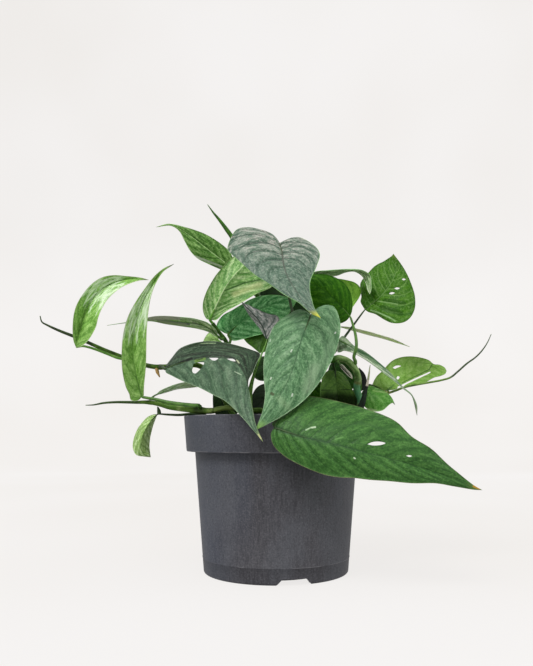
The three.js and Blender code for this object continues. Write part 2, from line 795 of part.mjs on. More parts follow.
    right: [
      [62.3, 213, -11], [62.9, 220, -10], [61, 229, -10], [55.5, 236.8, -10], [47.5, 241.8, -10],
      [38.5, 243.8, -10], [28, 243.6, -10], [20, 241.6, -10],
    ],
  },
  {
    name: "leaf_right_top",
    colour: 0x3f6f22,
    rows: 13,
    spread: 1.45,
    from: "stem_right_arch",
    near: [43, 173],
    via: [
      [48, 179.5, -14], [56.5, 192.2, -4], [64.5, 203, 1],
    ],
    midrib: [
      [73.2, 214.6, 1], [78, 218.5, -1], [82.7, 222.5, -3], [87, 226.5, -5], [90.9, 231, -6],
      [94.5, 236, -7], [97, 241, -7], [98.8, 247, -6], [98.6, 253, -5], [96.6, 260.5, -4],
    ],
    left: [
      [71.3, 217.5, 4], [69.6, 221, 7], [70.4, 225, 9], [69.4, 230, 12], [69.4, 235.5, 13],
      [72.5, 241, 13], [77, 246.3, 12], [83.5, 251.7, 9], [90.5, 255.6, 4], [94.8, 258.3, -1],
    ],
    right: [
      [76.5, 212.4, -2], [82, 210.7, -6], [90, 205.9, -13], [95, 203.6, -16], [100.5, 203.2, -18],
      [106, 204.7, -19], [111, 209, -19], [114.4, 216, -18], [114.3, 225, -16], [111.5, 235, -13],
      [107.5, 244.5, -10], [101.5, 254, -7],
    ],
    holes: [
      [
        [103.3, 239.6], [105, 240.3], [106.6, 239.5], [105, 238.8],
      ],
      [
        [97.2, 232], [99.5, 232.9], [101.8, 232.1], [99.5, 231.2],
      ],
      [
        [92.8, 227.8], [95.2, 229], [97.6, 228.4], [95.2, 227.2],
      ],
    ],
  },
  {
    name: "leaf_right_draped",
    colour: 0x5d7f4e,
    rows: 10,
    spread: 1.1,
    petiole: 0.9,
    from: "stem_centre",
    near: [-7, 208],
    via: [
      [4, 216, 14], [16, 232, 8],
    ],
    midrib: [
      [27, 243.8, 3], [38, 244.9, 1], [50, 245.7, 0], [60, 246.6, -2], [68, 246.1, -5],
      [74, 242.6, -8], [76.6, 235.5, -10], [77, 227.3, -11],
    ],
    left: [
      [34, 243, 7], [42, 241.6, 9], [50, 242.4, 9], [57, 245.2, 6], [64, 245.8, 3],
      [70.5, 242.2, -1], [73.8, 236.5, -5], [75.6, 230, -9],
    ],
    right: [
      [34, 246.2, -5], [44, 246.9, -9], [54, 247.4, -10], [63, 247.6, -11], [71, 247, -12],
      [77.2, 243, -13], [78.6, 235.5, -13.5], [78.2, 229.5, -12.5],
    ],
  },
  {
    name: "leaf_right_light",
    colour: 0x6f9a35,
    rows: 9,
    spread: 1.4,
    petiole: 0.9,
    from: "stem_right_arch",
    near: [38.5, 172],
    via: [
      [44, 184, -6], [49, 198, 3],
    ],
    midrib: [
      [56, 209, 6], [57.5, 218, 7], [55.5, 227, 8], [49, 234.5, 8], [40, 239, 7],
    ],
    left: [
      [60.5, 213.5, 6], [64.8, 219.2, 7], [68.3, 224.5, 8], [70, 229, 9], [68.8, 233.4, 10],
      [64.5, 237, 10], [58, 239, 9], [50, 240.2, 8],
    ],
    right: [
      [51.5, 211, 6], [46.5, 217, 7], [43, 225, 7], [40.5, 233, 7],
    ],
  },
  {
    name: "leaf_right_thin",
    colour: 0x86a25a,
    rows: 8,
    spread: 1.05,
    petiole: 0.8,
    from: "stem_centre",
    near: [5.5, 176],
    via: [
      [24, 192, 18], [40, 200, 17],
    ],
    midrib: [
      [50, 200.9, 15], [60, 199.2, 14], [72, 196.2, 13], [85, 192.7, 11], [97, 188.9, 8], [110, 184, 6],
    ],
    left: [
      [60, 198.1, 18], [72, 194.7, 19], [85, 191.4, 17], [98, 187.6, 12],
    ],
    right: [
      [60, 200.3, 10], [72, 197.6, 7], [85, 194.1, 5], [98, 189.9, 5],
    ],
  },
  {
    name: "leaf_right_arching",
    colour: 0x5d7c5c,
    rows: 10,
    spread: 1.15,
    petiole: 0.9,
    from: "stem_right_arch",
    near: [36, 172.6],
    via: [
      [39.5, 181, -19], [44.5, 187.5, -15],
    ],
    midrib: [
      [51, 189.4, -12], [58, 186.3, -12], [66, 181, -12], [75, 175, -13], [84, 168.2, -14],
      [93, 161, -16], [104, 150.6, -18], [111.2, 144.6, -20], [116, 127.5, -21],
    ],
    left: [
      [54.5, 193, -10], [58.5, 190.6, -7], [64, 185.1, -5], [73, 180, -4], [82, 173.7, -5],
      [91, 165.5, -8], [98, 158.3, -12], [104.5, 151, -16], [111.5, 144.9, -18], [116, 135.6, -20],
    ],
    right: [
      [50.2, 183, -12.5], [50.6, 179.4, -13.5], [53.2, 179.6, -14.3], [55.5, 180.8, -15],
      [58, 180.5, -15.5], [62.5, 179.4, -16],
      [68, 176.5, -17], [77, 170.8, -19], [87, 163.8, -21], [95, 157.5, -21], [103.7, 150, -20],
      [110.9, 144.3, -20], [115.4, 135.4, -21],
    ],
  },
  {
    name: "leaf_right_slit",
    colour: 0x79a04a,
    rows: 13,
    spread: 1.35,
    from: "stem_right_lower",
    near: [91.5, 146.4],
    via: [],
    midrib: [
      [92, 148.4, 6], [98, 153.5, 8], [106, 159.8, 10], [115, 165.4, 12], [124, 168.4, 13],
      [132, 168, 13], [140.3, 164.2, 12],
    ],
    left: [
      [96.5, 148.6, 4], [102, 150.4, 4], [108, 151.6, 4], [116, 152.7, 5], [124, 155.4, 6],
      [130, 158.6, 8], [135.5, 160.2, 9], [139.3, 162, 11],
    ],
    right: [
      [88.5, 148, 7], [82.5, 150, 8], [79.3, 152.2, 8], [80, 154.8, 9], [83, 160, 11],
      [88, 164.8, 13], [91.5, 169, 14], [96, 172.8, 16], [103, 175.4, 17], [112, 176.3, 18],
      [120, 175, 17], [126, 172.8, 16], [128.8, 170.4, 15], [130.4, 169.6, 14], [134, 169.4, 14],
      [138.6, 167.2, 13],
    ],
    holes: [
      [
        [100, 151.2], [105, 153.6], [114, 158], [122, 161.6], [127, 163.6], [127, 162.9],
        [120, 159.3], [112, 155.5], [105.5, 152.1], [103, 149], [100, 149],
      ],
      [
        [96, 167], [99, 168.6], [102.8, 168.3], [100, 166.9], [97.5, 166],
      ],
      [
        [99, 158.4], [100, 159.8], [101.6, 159.3], [101, 157.6], [99.6, 157.2],
      ],
    ],
  },
  {
    name: "leaf_right_low",
    colour: 0x4c8138,
    rows: 9,
    spread: 1.3,
    from: "stem_right_lower",
    near: [64, 147.5],
    via: [
      [66, 144, -3],
    ],
    midrib: [
      [70, 142.4, -11], [78, 143.6, -15], [86, 143.4, -17], [92.5, 141.4, -16], [97.8, 136.4, -14],
    ],
    left: [
      [71, 147.5, -9], [76.5, 151.8, -8], [82, 150.6, -8], [87.5, 148.4, -8], [92, 145.5, -9],
      [95.6, 141.5, -12],
    ],
    right: [
      [71.5, 136.5, -13], [76.5, 132, -16], [83, 130.6, -18], [88.5, 132.3, -18], [93, 136.2, -17],
      [96, 137.8, -15],
    ],
  },
  {
    name: "leaf_right_inner",
    colour: 0x223f12,
    rows: 9,
    spread: 1.35,
    from: "stem_right_arch",
    near: [46, 173],
    via: [
      [47, 168.5, -18],
    ],
    midrib: [
      [48.5, 164.6, -12], [49.5, 156.5, -15], [50.3, 148, -19], [51.5, 138, -17], [53, 127.5, -14],
    ],
    left: [
      [53.5, 163, -11], [58.5, 157.5, -16], [62, 150.5, -27], [65, 144.5, -29.5],
      [66.6, 138.5, -28.5], [64, 131, -24],
    ],
    right: [
      [43.2, 164.6, -11], [38.8, 160, -13], [36.6, 151, -17], [36.4, 143.5, -17],
      [39.5, 135, -15], [46, 129, -14],
    ],
  },
  {
    name: "leaf_inner_left",
    colour: 0x1f3316,
    rows: 8,
    spread: 1.35,
    from: "stem_left_back",
    near: [-33, 143],
    via: [
      [-31.5, 150, 17],
    ],
    midrib: [
      [-33, 154.5, 20], [-39, 147.5, 20], [-43, 139.5, 19], [-44, 131, 18], [-42, 123.5, 16],
    ],
    left: [
      [-29.5, 150, 21], [-28, 142, 21], [-29.5, 134, 20], [-34, 126.5, 18],
    ],
    right: [
      [-38.5, 157, 20], [-47, 153.5, 19], [-51.4, 146.5, 18], [-52, 139, 17], [-51, 131, 16],
      [-47.5, 126, 16],
    ],
  },
  {
    name: "leaf_inner_centre",
    colour: 0x1d3015,
    rows: 8,
    spread: 1.35,
    from: "stem_centre",
    near: [7.4, 149],
    via: [],
    midrib: [
      [9.5, 149.5, 9.5], [1, 146.5, 4], [-8, 141.5, -2], [-16, 135, -6], [-21.5, 129, -9],
    ],
    left: [
      [10, 144.5, 9], [5, 137, 4], [-4, 131, -1], [-14, 128, -6],
    ],
    right: [
      [4.5, 154.5, 7], [-5, 154, 2], [-12, 153, -2], [-16.8, 149.5, -5], [-20.6, 141, -7],
    ],
  },
  {
    name: "leaf_inner_upper",
    colour: 0x1f3515,
    rows: 7,
    spread: 1.3,
    from: "stem_centre",
    near: [7.6, 161],
    via: [],
    midrib: [
      [5, 165.5, 9], [-2, 168.5, 6], [-10, 169, 3], [-19.5, 166, 0],
    ],
    left: [
      [2, 160.5, 7], [-5, 157.2, 5], [-12, 156, 3], [-17.5, 158.5, 1],
    ],
    right: [
      [1.5, 172.5, 9], [-5.5, 175.5, 7], [-12, 176, 4], [-17.5, 172.5, 2],
    ],
  },
  {
    name: "leaf_inner_top",
    colour: 0x24411a,
    rows: 8,
    spread: 1.3,
    from: "stem_centre",
    near: [-11, 216],
    via: [],
    midrib: [
      [-8, 219, 17.5], [-2, 222.5, 18.5], [8, 224.5, 20], [19, 225, 20.5], [29, 224, 20.5],
    ],
    left: [
      [-4, 216, 18.5], [3, 211.5, 19], [13, 208, 19.5], [24.5, 208.5, 20], [30, 214.5, 20.5],
    ],
    right: [
      [-11, 221.5, 16.6], [-12.9, 226.5, 16], [-12.2, 231.5, 16.2], [-7, 234, 17.5], [1, 235.5, 20],
      [12, 235.5, 21.5], [23, 231, 21],
    ],
  },
  {
    name: "leaf_inner_right",
    colour: 0x1b2a14,
    rows: 8,
    spread: 1.3,
    from: "stem_centre",
    near: [6.4, 140],
    via: [
      [20, 149, 12], [33, 156, 7],
    ],
    midrib: [
      [42, 160, 3], [50, 162.8, 1], [59, 163.2, -1], [67.5, 160, -3],
    ],
    left: [
      [45, 170, 4], [52, 173.2, 3], [60, 172, 1], [65.4, 166.8, -1],
    ],
    right: [
      [45, 152.4, 3], [53, 149.6, 1], [61, 148.6, -0.5], [66, 152.4, -2],
    ],
  },
  {
    name: "leaf_back_low",
    colour: 0x3c6b34,
    rows: 10,
    spread: 1.45,
    root: [20, 38],
    via: [
      [22, 145, 46], [23, 158, 58], [22.6, 161.5, 67],
    ],
    midrib: [
      [22, 158.5, 75], [20, 146, 87], [16, 125, 97], [12, 100, 101], [10, 84, 98],
    ],
    left: [
      [18.5, 162.5, 77], [9, 161, 81], [0.5, 151, 89], [-2, 135, 97], [0, 115, 102], [5, 97, 102],
    ],
    right: [
      [26.5, 162.5, 76], [35, 158, 80], [40, 147, 87], [39, 132, 95], [31, 112, 101], [19, 94, 101],
    ],
  },
  {
    name: "leaf_back_top",
    colour: 0x54785a,
    rows: 10,
    spread: 1.45,
    from: "stem_centre",
    near: [-15.5, 226],
    via: [
      [-12, 232, 24],
    ],
    midrib: [
      [-6, 238, 34], [-4, 245, 48], [-3, 249, 64], [-3, 246, 84], [-4, 235, 102],
    ],
    left: [
      [-11, 237, 32], [-21, 239, 42], [-27, 242, 56], [-23, 244, 72], [-13, 241, 90],
    ],
    right: [
      [-1, 237, 32], [10, 239, 42], [17, 242, 56], [14, 244, 72], [5, 241, 90],
    ],
  },
  {
    name: "leaf_back_left",
    colour: 0x486f41,
    rows: 9,
    spread: 1.4,
    from: "stem_left_back",
    near: [-43.6, 167],
    via: [
      [-43.5, 164, 18],
    ],
    midrib: [
      [-42, 163.5, 29], [-45, 165.5, 44], [-47, 164.5, 60], [-47, 158.5, 76], [-46, 151, 90],
    ],
    left: [
      [-47, 163, 29], [-54, 164.5, 44], [-56.5, 163, 60], [-54, 157, 76],
    ],
    right: [
      [-38.5, 163, 29], [-35, 164.5, 44], [-35.5, 163, 60], [-39, 157, 76],
    ],
  },
  {
    name: "leaf_back_right",
    colour: 0x42693a,
    rows: 10,
    spread: 1.4,
    from: "stem_centre",
    near: [7, 167.5],
    via: [
      [20, 184, 28], [34, 201, 31],
    ],
    midrib: [
      [42, 208.5, 36], [46, 214.5, 49], [47, 214, 64], [44, 205, 82], [38, 190, 96],
    ],
    left: [
      [37, 208, 36], [31, 212.5, 50], [30.5, 212.5, 64], [33, 202.5, 82],
    ],
    right: [
      [48, 209.5, 35], [57, 214.5, 46], [59, 215.5, 59], [54, 207.5, 76], [45, 198, 90],
    ],
  },
  {
    name: "leaf_back_right_low",
    colour: 0x4a7a3c,
    rows: 10,
    spread: 1.4,
    root: [38, 34],
    via: [
      [42, 140, 42], [45, 151, 54],
    ],
    midrib: [
      [47, 151.5, 64], [53, 146.5, 78], [58, 134, 90], [60, 119, 97], [58, 105, 99],
    ],
    left: [
      [43.5, 150, 66], [42, 145, 76], [46.5, 132, 90], [49, 118, 99], [52, 110, 101],
    ],
    right: [
      [52, 152.5, 64], [62, 147, 72], [69, 134, 84], [70, 121, 94], [65, 111, 98],
    ],
  },
  {
    name: "leaf_back_upper_left",
    colour: 0x527a49,
    rows: 9,
    spread: 1.4,
    from: "stem_centre",
    near: [-11.4, 217],
    via: [
      [-17, 226.5, 25],
    ],
    midrib: [
      [-25, 230, 35], [-30, 235.5, 48], [-33, 238, 62], [-34, 236, 78], [-34, 227, 92],
    ],
    left: [
      [-30.5, 229.5, 36], [-40, 232.5, 48], [-44.5, 235.5, 60], [-43, 233.5, 76],
    ],
    right: [
      [-20.5, 231.5, 36], [-19.5, 236.5, 48], [-20.5, 239.5, 60], [-25, 237.5, 76],
    ],
  },
  {
    name: "leaf_back_centre",
    colour: 0x3d6a3a,
    rows: 10,
    spread: 1.4,
    from: "stem_centre",
    near: [3.4, 183],
    via: [
      [2, 187, 28],
    ],
    midrib: [
      [0, 191, 38], [-4, 198.5, 52], [-8, 202.5, 66], [-11, 200, 82], [-13, 190.5, 98],
    ],
    left: [
      [-5.5, 190.5, 39], [-17, 196.5, 52], [-22.5, 200.5, 66], [-20, 197, 84],
    ],
    right: [
      [5, 191.5, 39], [11, 199, 52], [8, 203.5, 66], [0, 199, 84],
    ],
  },
  {
    name: "old_sheath_dark",
    colour: 0x17180f,
    rows: 7,
    spread: 1.1,
    petiole: 1,
    from: "stem_right_arch",
    near: [66.8, 155],
    via: [],
    midrib: [
      [70, 147.6, -14.5], [71, 154, -14], [70.8, 161, -14.5], [68.3, 167, -15.5],
    ],
    left: [
      [67, 151.5, -14], [65.8, 157, -13.5], [66.4, 163, -14.5],
    ],
    right: [
      [73.4, 149.6, -13.8], [74.6, 156, -13], [72.8, 162, -13.8],
    ],
  },
  {
    name: "old_sheath_pale",
    colour: 0xb9b89a,
    rows: 6,
    spread: 1.05,
    petiole: 0.7,
    from: "stem_right_arch",
    near: [51.5, 173.2],
    via: [],
    midrib: [
      [52.5, 170, -31.5], [56.2, 166, -32], [60, 161.5, -32], [63, 157.3, -32],
    ],
    left: [
      [54.4, 169.6, -31.5], [58.4, 165.6, -31.5], [62.3, 161, -31.5],
    ],
    right: [
      [52.6, 167.8, -32], [55.6, 164, -32.5], [60, 159.5, -32.5],
    ],
  },
];

// The nearest share of a stem's length to a place that is seen
function shareNear(curve, [x, z]) {
  const samples = 400;
  let best = 0;
  let least = Infinity;
  for (let i = 0; i <= samples; i++) {
    const [px, pz] = asSeen(curve.getPointAt(i / samples));
    const distance = Math.hypot(px - x, pz - z);
    if (distance < least) {
      least = distance;
      best = i / samples;
    }
  }
  return best;
}

// Where a leaf stalk leaves its stem: off the surface by the clearance, square to it,
// or straight on from the stem's end
function budPoints(stem, near, toward) {
  const share = shareNear(stem.curve, near);
  const centre = stem.curve.getPointAt(share);
  const tangent = stem.curve.getTangentAt(share);
  const outward = toward.clone().sub(centre);
  const isEnd = share > 0.985;
  if (isEnd) {
    const ahead = stem.curve.getPointAt(1);
    return [1, 3].map((step) => ahead.clone().addScaledVector(tangent, CLEARANCE * step));
  }
  outward.addScaledVector(tangent, -outward.dot(tangent)).normalize();
  const surface = along(stem.radii, share) + CLEARANCE;
  return [surface, surface + 1.2].map((reach) => centre.clone().addScaledVector(outward, reach));
}

// The blade: a grid between the two margins with the midrib down its middle. Rows start
// on the midrib and end on a margin; those near the base fan out into the lobes.
function bladeSolid({ midrib, left, right, rows, spread }) {
  const columns = rows >= 9 ? 2 : 1;
  const middle = spline(midrib.map(seen));
  const ends = [midrib[0], midrib[midrib.length - 1]];
  const margins = [left, right].map((side) => spline([ends[0], ...side, ends[1]].map(seen)));
  const across = 2 * columns + 1;
  const points = [middle.getPointAt(0)];
  for (let i = 1; i < rows; i++) {
    const share = (i / rows) ** ROW_CROWDING;
    const root = middle.getPointAt(share ** spread);
    const edge = margins.map((margin) => margin.getPointAt(share));
    const axis = middle.getTangentAt(share ** spread);
    const normal = edge[1].clone().sub(edge[0]).cross(axis).normalize();
    for (let j = -columns; j <= columns; j++) {
      const reach = Math.abs(j) / columns;
      const side = edge[j < 0 ? 0 : 1];
      const width = side.distanceTo(root);
      const belly = 0.08 * width * 4 * reach * (1 - reach);
      points.push(root.clone().lerp(side, reach).addScaledVector(normal, belly));
    }
  }
  points.push(middle.getPointAt(1));
  const tip = points.length - 1;
  const at = (i, j) => 1 + (i - 1) * across + j;
  const faces = [];
  for (let j = 0; j < across - 1; j++) {
    faces.push([0, at(1, j + 1), at(1, j)]);
    for (let i = 1; i < rows - 1; i++) {
      const [a, b, c, d] = [at(i, j), at(i, j + 1), at(i + 1, j + 1), at(i + 1, j)];
      if (j < columns) faces.push([a, b, d], [b, c, d]);
      else faces.push([a, b, c], [a, c, d]);
    }
    faces.push([at(rows - 1, j), at(rows - 1, j + 1), tip]);
  }
  return thickened(points, faces, BLADE_THICKNESS);
}

// A sheet of triangles made solid: both faces are split alike, and its edge is walled
function thickened(points, faces, thickness) {
  const normals = points.map(() => new THREE.Vector3());
  const edges = new Map();
  for (const face of faces) {
    const [a, b, c] = face.map((index) => points[index]);
    const normal = b.clone().sub(a).cross(c.clone().sub(a));
    face.forEach((index) => normals[index].add(normal));
    face.forEach((from, k) => {
      const to = face[(k + 1) % 3];
      if (!edges.delete(`${to},${from}`)) edges.set(`${from},${to}`, [from, to]);
    });
  }
  const half = thickness / 2;
  const upper = points.map((p, i) => p.clone().addScaledVector(normals[i].normalize(), half));
  const lower = points.map((p, i) => p.clone().addScaledVector(normals[i], -half));
  const count = points.length;
  const shell = [];
  for (const [a, b, c] of faces) {
    shell.push(a, b, c, count + a, count + c, count + b);
  }
  for (const [from, to] of edges.values()) {
    shell.push(from, count + to, to, from, count + from, count + to);
  }
  return toSolid(closedGeometry([...upper, ...lower], shell));
}

function leafSolid(leaf, stemsByName) {
  const base = seen(leaf.midrib[0]);
  const via = leaf.via.map(seen);
  const toward = via[0] || base;
  const start = leaf.root
    ? footing(leaf.root)
    : budPoints(stemsByName.get(leaf.from), leaf.near, toward);
  const middle = spline(leaf.midrib.map(seen));
  const sunk = [0.05, 0.12].map((share) => middle.getPointAt(share));
  const route = spline([...start, ...via, base, ...sunk]);
  const radius = leaf.petiole || PETIOLE_RADIUS;
  const steps = Math.max(4, Math.round(route.getLength() / STALK_STEP));
  const radii = [radius, radius, radius * 0.9, radius * 0.8, radius * 0.5];
  let solid = bladeSolid(leaf).add(stalk(route, radii, STALK_SIDES, steps));
  solid = withTwigs(solid, leaf.twigs);
  for (const outline of leaf.holes || []) {
    const at = (depth) => outline.map(([x, z]) => seen([x, z, depth]));
    solid = solid.subtract(prism(at(-130), at(60)));
  }
  return solid;
}

function stemSolid(stem) {
  return withTwigs(stalk(stem.curve, stem.radii, STEM_SIDES, stem.steps), stem.twigs);
}

// Root stubs and remains of sheaths that grow from a stem or a leaf's base
function withTwigs(solid, twigs = []) {
  let grown = solid;
  for (const { from, to, end, radius } of twigs) {
    const curve = spline([from, to, end].map(seen));
    grown = grown.add(stalk(curve, [radius, radius * 0.3], STALK_SIDES, 3));
  }
  return grown;
}

function part(name, solid, colour, roughness) {
  const material = new THREE.MeshStandardMaterial({ color: colour, roughness, metalness: 0 });
  const mesh = new THREE.Mesh(toGeometry(solid), material);
  mesh.name = name;
  return mesh;
}

const plant = new THREE.Group();
const stemsByName = new Map();
const holes = [];
for (const stem of stems) {
  stem.curve = spline([...footing(stem.root), ...stem.route.map(seen)]);
  stemsByName.set(stem.name, stem);
  holes.push({ root: stem.root, radius: stem.radii[0] });
  plant.add(part(stem.name, stemSolid(stem), stem.colour, 0.6));
}
for (const leaf of leaves) {
  const { root } = leaf;
  if (root) holes.push({ root, radius: leaf.petiole || PETIOLE_RADIUS });
  plant.add(part(leaf.name, leafSolid(leaf, stemsByName), leaf.colour, 0.5));
}
plant.add(part("soil", soilSolid(holes), 0x2b211a, 1));
plant.add(part("pot", potSolid(), 0x414248, 0.6));

export default plant;
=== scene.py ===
"""A potted cebu blue pothos: its looks, built over its solids. Metres, +Z up."""

import itertools
import math
import random

import bpy
import numpy as np
from mathutils import Matrix, Vector, noise
from mathutils.bvhtree import BVHTree


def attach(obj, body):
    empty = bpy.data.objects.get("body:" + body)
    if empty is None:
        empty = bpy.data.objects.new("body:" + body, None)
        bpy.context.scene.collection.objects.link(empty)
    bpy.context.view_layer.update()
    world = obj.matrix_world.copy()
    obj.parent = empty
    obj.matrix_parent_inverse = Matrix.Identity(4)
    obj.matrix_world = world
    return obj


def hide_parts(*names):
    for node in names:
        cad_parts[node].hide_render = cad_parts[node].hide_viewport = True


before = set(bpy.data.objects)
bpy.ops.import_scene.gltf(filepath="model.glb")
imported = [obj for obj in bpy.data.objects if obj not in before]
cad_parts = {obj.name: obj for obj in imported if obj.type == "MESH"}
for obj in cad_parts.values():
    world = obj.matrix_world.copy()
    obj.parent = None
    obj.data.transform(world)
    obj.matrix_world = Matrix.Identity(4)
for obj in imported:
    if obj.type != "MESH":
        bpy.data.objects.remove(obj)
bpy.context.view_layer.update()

MM = 0.001

# The camera stands a little below the pot's rim and looks along +Y. The places of stems and
# leaves below are millimetres in the plane of the pot's axis, as they are seen from there.
# The lens, in mm, and the shift, in widths of the picture, frame the photograph's view.
EYE_DISTANCE = 580
EYE_HEIGHT = 114
LENS = 38.12
SHIFT = (-0.0143, 0.1486)


def seen(place):
    """The real point, in millimetres, that is seen at (x, z) and lies at that depth."""
    x, z, depth = place
    scale = 1 + depth / EYE_DISTANCE
    return np.array([x * scale, depth, EYE_HEIGHT + (z - EYE_HEIGHT) * scale])


def as_seen(points):
    """Where real points are seen, the reverse of seen."""
    scale = 1 + points[:, 1] / EYE_DISTANCE
    return np.stack([points[:, 0] / scale, EYE_HEIGHT + (points[:, 2] - EYE_HEIGHT) / scale], 1)


# Sizes of the pot and the soil that the solids share, in millimetres
RIM_RADIUS = 75
POT_HEIGHT = 127
COLLAR_HEIGHT = 28.5
COLLAR_TAPER = 2
LEDGE_RADIUS = 66.2
BASE_RADIUS = 59.2
WALL = 1.6
BASE_ROUNDING = 2.2
FLOOR_FILLET = 3
CHANNEL_INNER = 40
CHANNEL_OUTER = 53
CHANNEL_DEPTH = 5
NOTCH_COUNT = 3
NOTCH_AZIMUTH = -76.3
NOTCH_WIDTH = 27.5
NOTCH_TOP_WIDTH = 18.7
DRAIN_RADIUS = 4.5
MOULD_LINE = 13
SOIL_TOP = 112
SOIL_MOUND = 2
SOIL_SLOPE = 12
CLEARANCE = 0.3
ROOT_DEPTH = 8
RIM_EDGE = 0.8
COLLAR_EDGE = 0.7
SOIL_SINK = 0.6
POT_TURNS = 192
SOIL_TURNS = 144
SOIL_RINGS = 64

# Blades, in millimetres but for the shares and counts
BLADE_THICKNESS = 0.42
END_THICKNESS = BLADE_THICKNESS * 0.6
EDGE_THINNING = 0.55
RIB_REACH = 0.9
RIB_GROOVE = 0.22
RIB_KEEL = 0.5
BELLY = 0.08
FULL_SWELLING_WIDTH = 16
FULL_WAVE_WIDTH = 10
WAVES_PER_VEIN = 0.42
HALF_OFFSET = 0.35
WOBBLE = 0.12
ROW_CROWDING = 1.3
COLUMN_CROWDING = 1.35
LARGE_LEAVES = ("leaf_top_heart", "leaf_centre", "leaf_front_right", "leaf_left_holed")
LARGE_GRID = (150, 16)
SMALL_GRID = (84, 11)
CUT_DEPTHS = (-130, 60)

# Stems and stalks
STEM_SIDES = 18
STEM_STEP = 1.0
NODE_SWELLING = 0.12
NODE_LENGTH = 2.2
STEM_END = 0.985
PETIOLE_RADIUS = 1.15
PETIOLE_SIDES = 12
PETIOLE_STEP = 1.5
TWIG_SIDES = 10

# Patterns on the blades and stems: waves or cells in a metre, how far each leaf's pattern is
# moved from the last one's, and how soft the ends of a stem's coloured stretches are
CLOUD_SCALE = 130
SPECK_SCALE = 620
NET_SCALE = 420
PATTERN_SHIFT = 0.037
BAND_EDGE = 0.012
BLADE_GLOSS = 0.22

# A mark weaker than the first fades from its middle on. The second is how much a distance
# in depth counts for a mark, against one across.
SOFT_MARK = 0.6
MARK_DEPTH = 0.15

# Light
KEY = 2.0
FILL = 0.45
SKY_LOW = 0.5
SKY_HIGH = 0.85
BACKDROP_GLOW = 0.9

# Stems: where each one stands in the soil, its radii spread along it, and its route
# as (x, z, depth). The end of a route is the rolled young leaf at the growing tip.
STEMS = [
    dict(
        name="stem_left_upper", root=(-30, -6),
        radii=[2.2, 2.2, 2.2, 2.2, 2.2, 2.1, 2.1, 2, 1.8, 1.6, 1.5, 1.4, 1.3, 1, 0.4],
        route=[
            (-40, 136, -4), (-50, 154, -6), (-57, 164.3, -8), (-64, 168.7, -9), (-74, 169, -9),
            (-86, 168, -9), (-97, 167.4, -8), (-107, 168.9, -8), (-118, 173, -7), (-128, 176.4, -6),
            (-140, 181.1, -6), (-150, 185.5, -6), (-163, 191.3, -7), (-178, 197.2, -8), (-188, 201.8, -9),
            (-192.6, 204.6, -9), (-194, 209.3, -10),
        ],
        twigs=[((-98.2, 167.2, -8), (-97.6, 163.6, -9), (-95.7, 159.2, -10), 1.6)],
    ),
    dict(
        name="stem_left_lower", root=(-2, -38),
        radii=[1.9, 1.9, 1.9, 2, 2.1, 1.9, 2.3, 2.5, 2.7, 2.5, 2, 1.6, 1.2, 1, 0.8, 0.3],
        route=[
            (-10, 131, -50), (-20, 131.8, -52), (-30, 133, -52), (-40, 133.9, -50), (-46, 133, -46),
            (-51, 131.6, -41), (-57, 131.3, -35), (-64, 131.9, -29), (-72, 132.8, -23), (-80, 133.7, -19),
            (-88, 134.7, -16), (-96, 136.9, -15), (-104, 138.3, -15), (-118, 138.4, -14),
            (-132, 138.5, -14), (-142, 137.8, -14), (-150, 136.3, -14), (-156.5, 136, -14),
        ],
    ),
    dict(
        name="stem_right_lower", root=(42, 14),
        radii=[1.7, 1.6, 1.5, 1.3, 1.1, 1, 0.9, 0.85, 0.8, 0.75, 0.6, 0.25],
        route=[
            (54, 132, 9), (60, 141, 8), (66, 149.5, 7), (72, 152.8, 6), (78, 152.2, 4), (85, 149.8, 2),
            (91.5, 146.3, 0), (98, 147.9, -2), (105, 150.6, -4), (115, 152.8, -5), (127, 154.9, -6),
            (137, 156.8, -6), (143.5, 158.9, -6), (150, 164.1, -7), (157, 170.3, -8), (164.5, 175.8, -9),
            (170, 181.7, -9), (174, 187.8, -10), (177, 194.5, -10),
        ],
    ),
    dict(
        name="stem_centre", root=(4, 16),
        radii=[2.2, 2.2, 2.2, 2.1, 2.1, 2, 2, 1.9, 1.8, 1.7, 1.6, 1.5, 1.4, 1.9, 1.8, 1.1, 0.25],
        route=[
            (6, 135, 16), (8, 155, 16), (5, 178, 16), (-3, 200, 15), (-12, 218, 14), (-19, 235, 12),
            (-25, 250, 10), (-30.6, 263.3, 8), (-36.3, 274.3, 6), (-41.3, 281.4, 5), (-46.5, 288.3, 4),
            (-51.8, 294.7, 4), (-56.3, 301, 4),
        ],
    ),
    dict(
        name="stem_left_back", root=(-26, 14),
        radii=[2, 2, 1.9, 1.8, 1.7, 1.5],
        route=[
            (-30, 135, 12), (-37, 152, 9), (-43.5, 165, 7), (-43.5, 174, 6), (-40.5, 183, 4),
            (-41, 188, 3), (-44, 192.5, 1), (-48, 197.5, -1), (-52, 203, -3),
        ],
    ),
    dict(
        name="stem_right_arch", root=(60, -10),
        radii=[2.4, 2.5, 4.2, 4.8, 3, 2.6, 2.6, 2.6, 2.5, 2.3, 2.2, 2, 1.8],
        route=[
            (67.5, 134, -18), (67.9, 140, -20), (67, 146, -23), (66.4, 151, -24), (67.6, 157.5, -26),
            (65.8, 164, -28), (62, 169.7, -28), (57, 173.2, -28), (51.5, 174.4, -27), (46, 173.6, -25),
            (39, 172, -24), (32, 175, -26), (26, 184, -30), (21, 194, -34), (16, 203, -38),
        ],
    ),
    dict(
        name="stem_new_shoot", root=(55, -28),
        radii=[2.5, 2.5, 2.5, 2.6, 2.6, 1.9, 1.1, 0.8, 0.25],
        route=[
            (66, 129, -30), (70.3, 136, -31), (72.5, 143, -32), (73.8, 149, -32), (75, 153, -32),
            (76.2, 160, -32), (77.4, 169, -31),
        ],
    ),
]

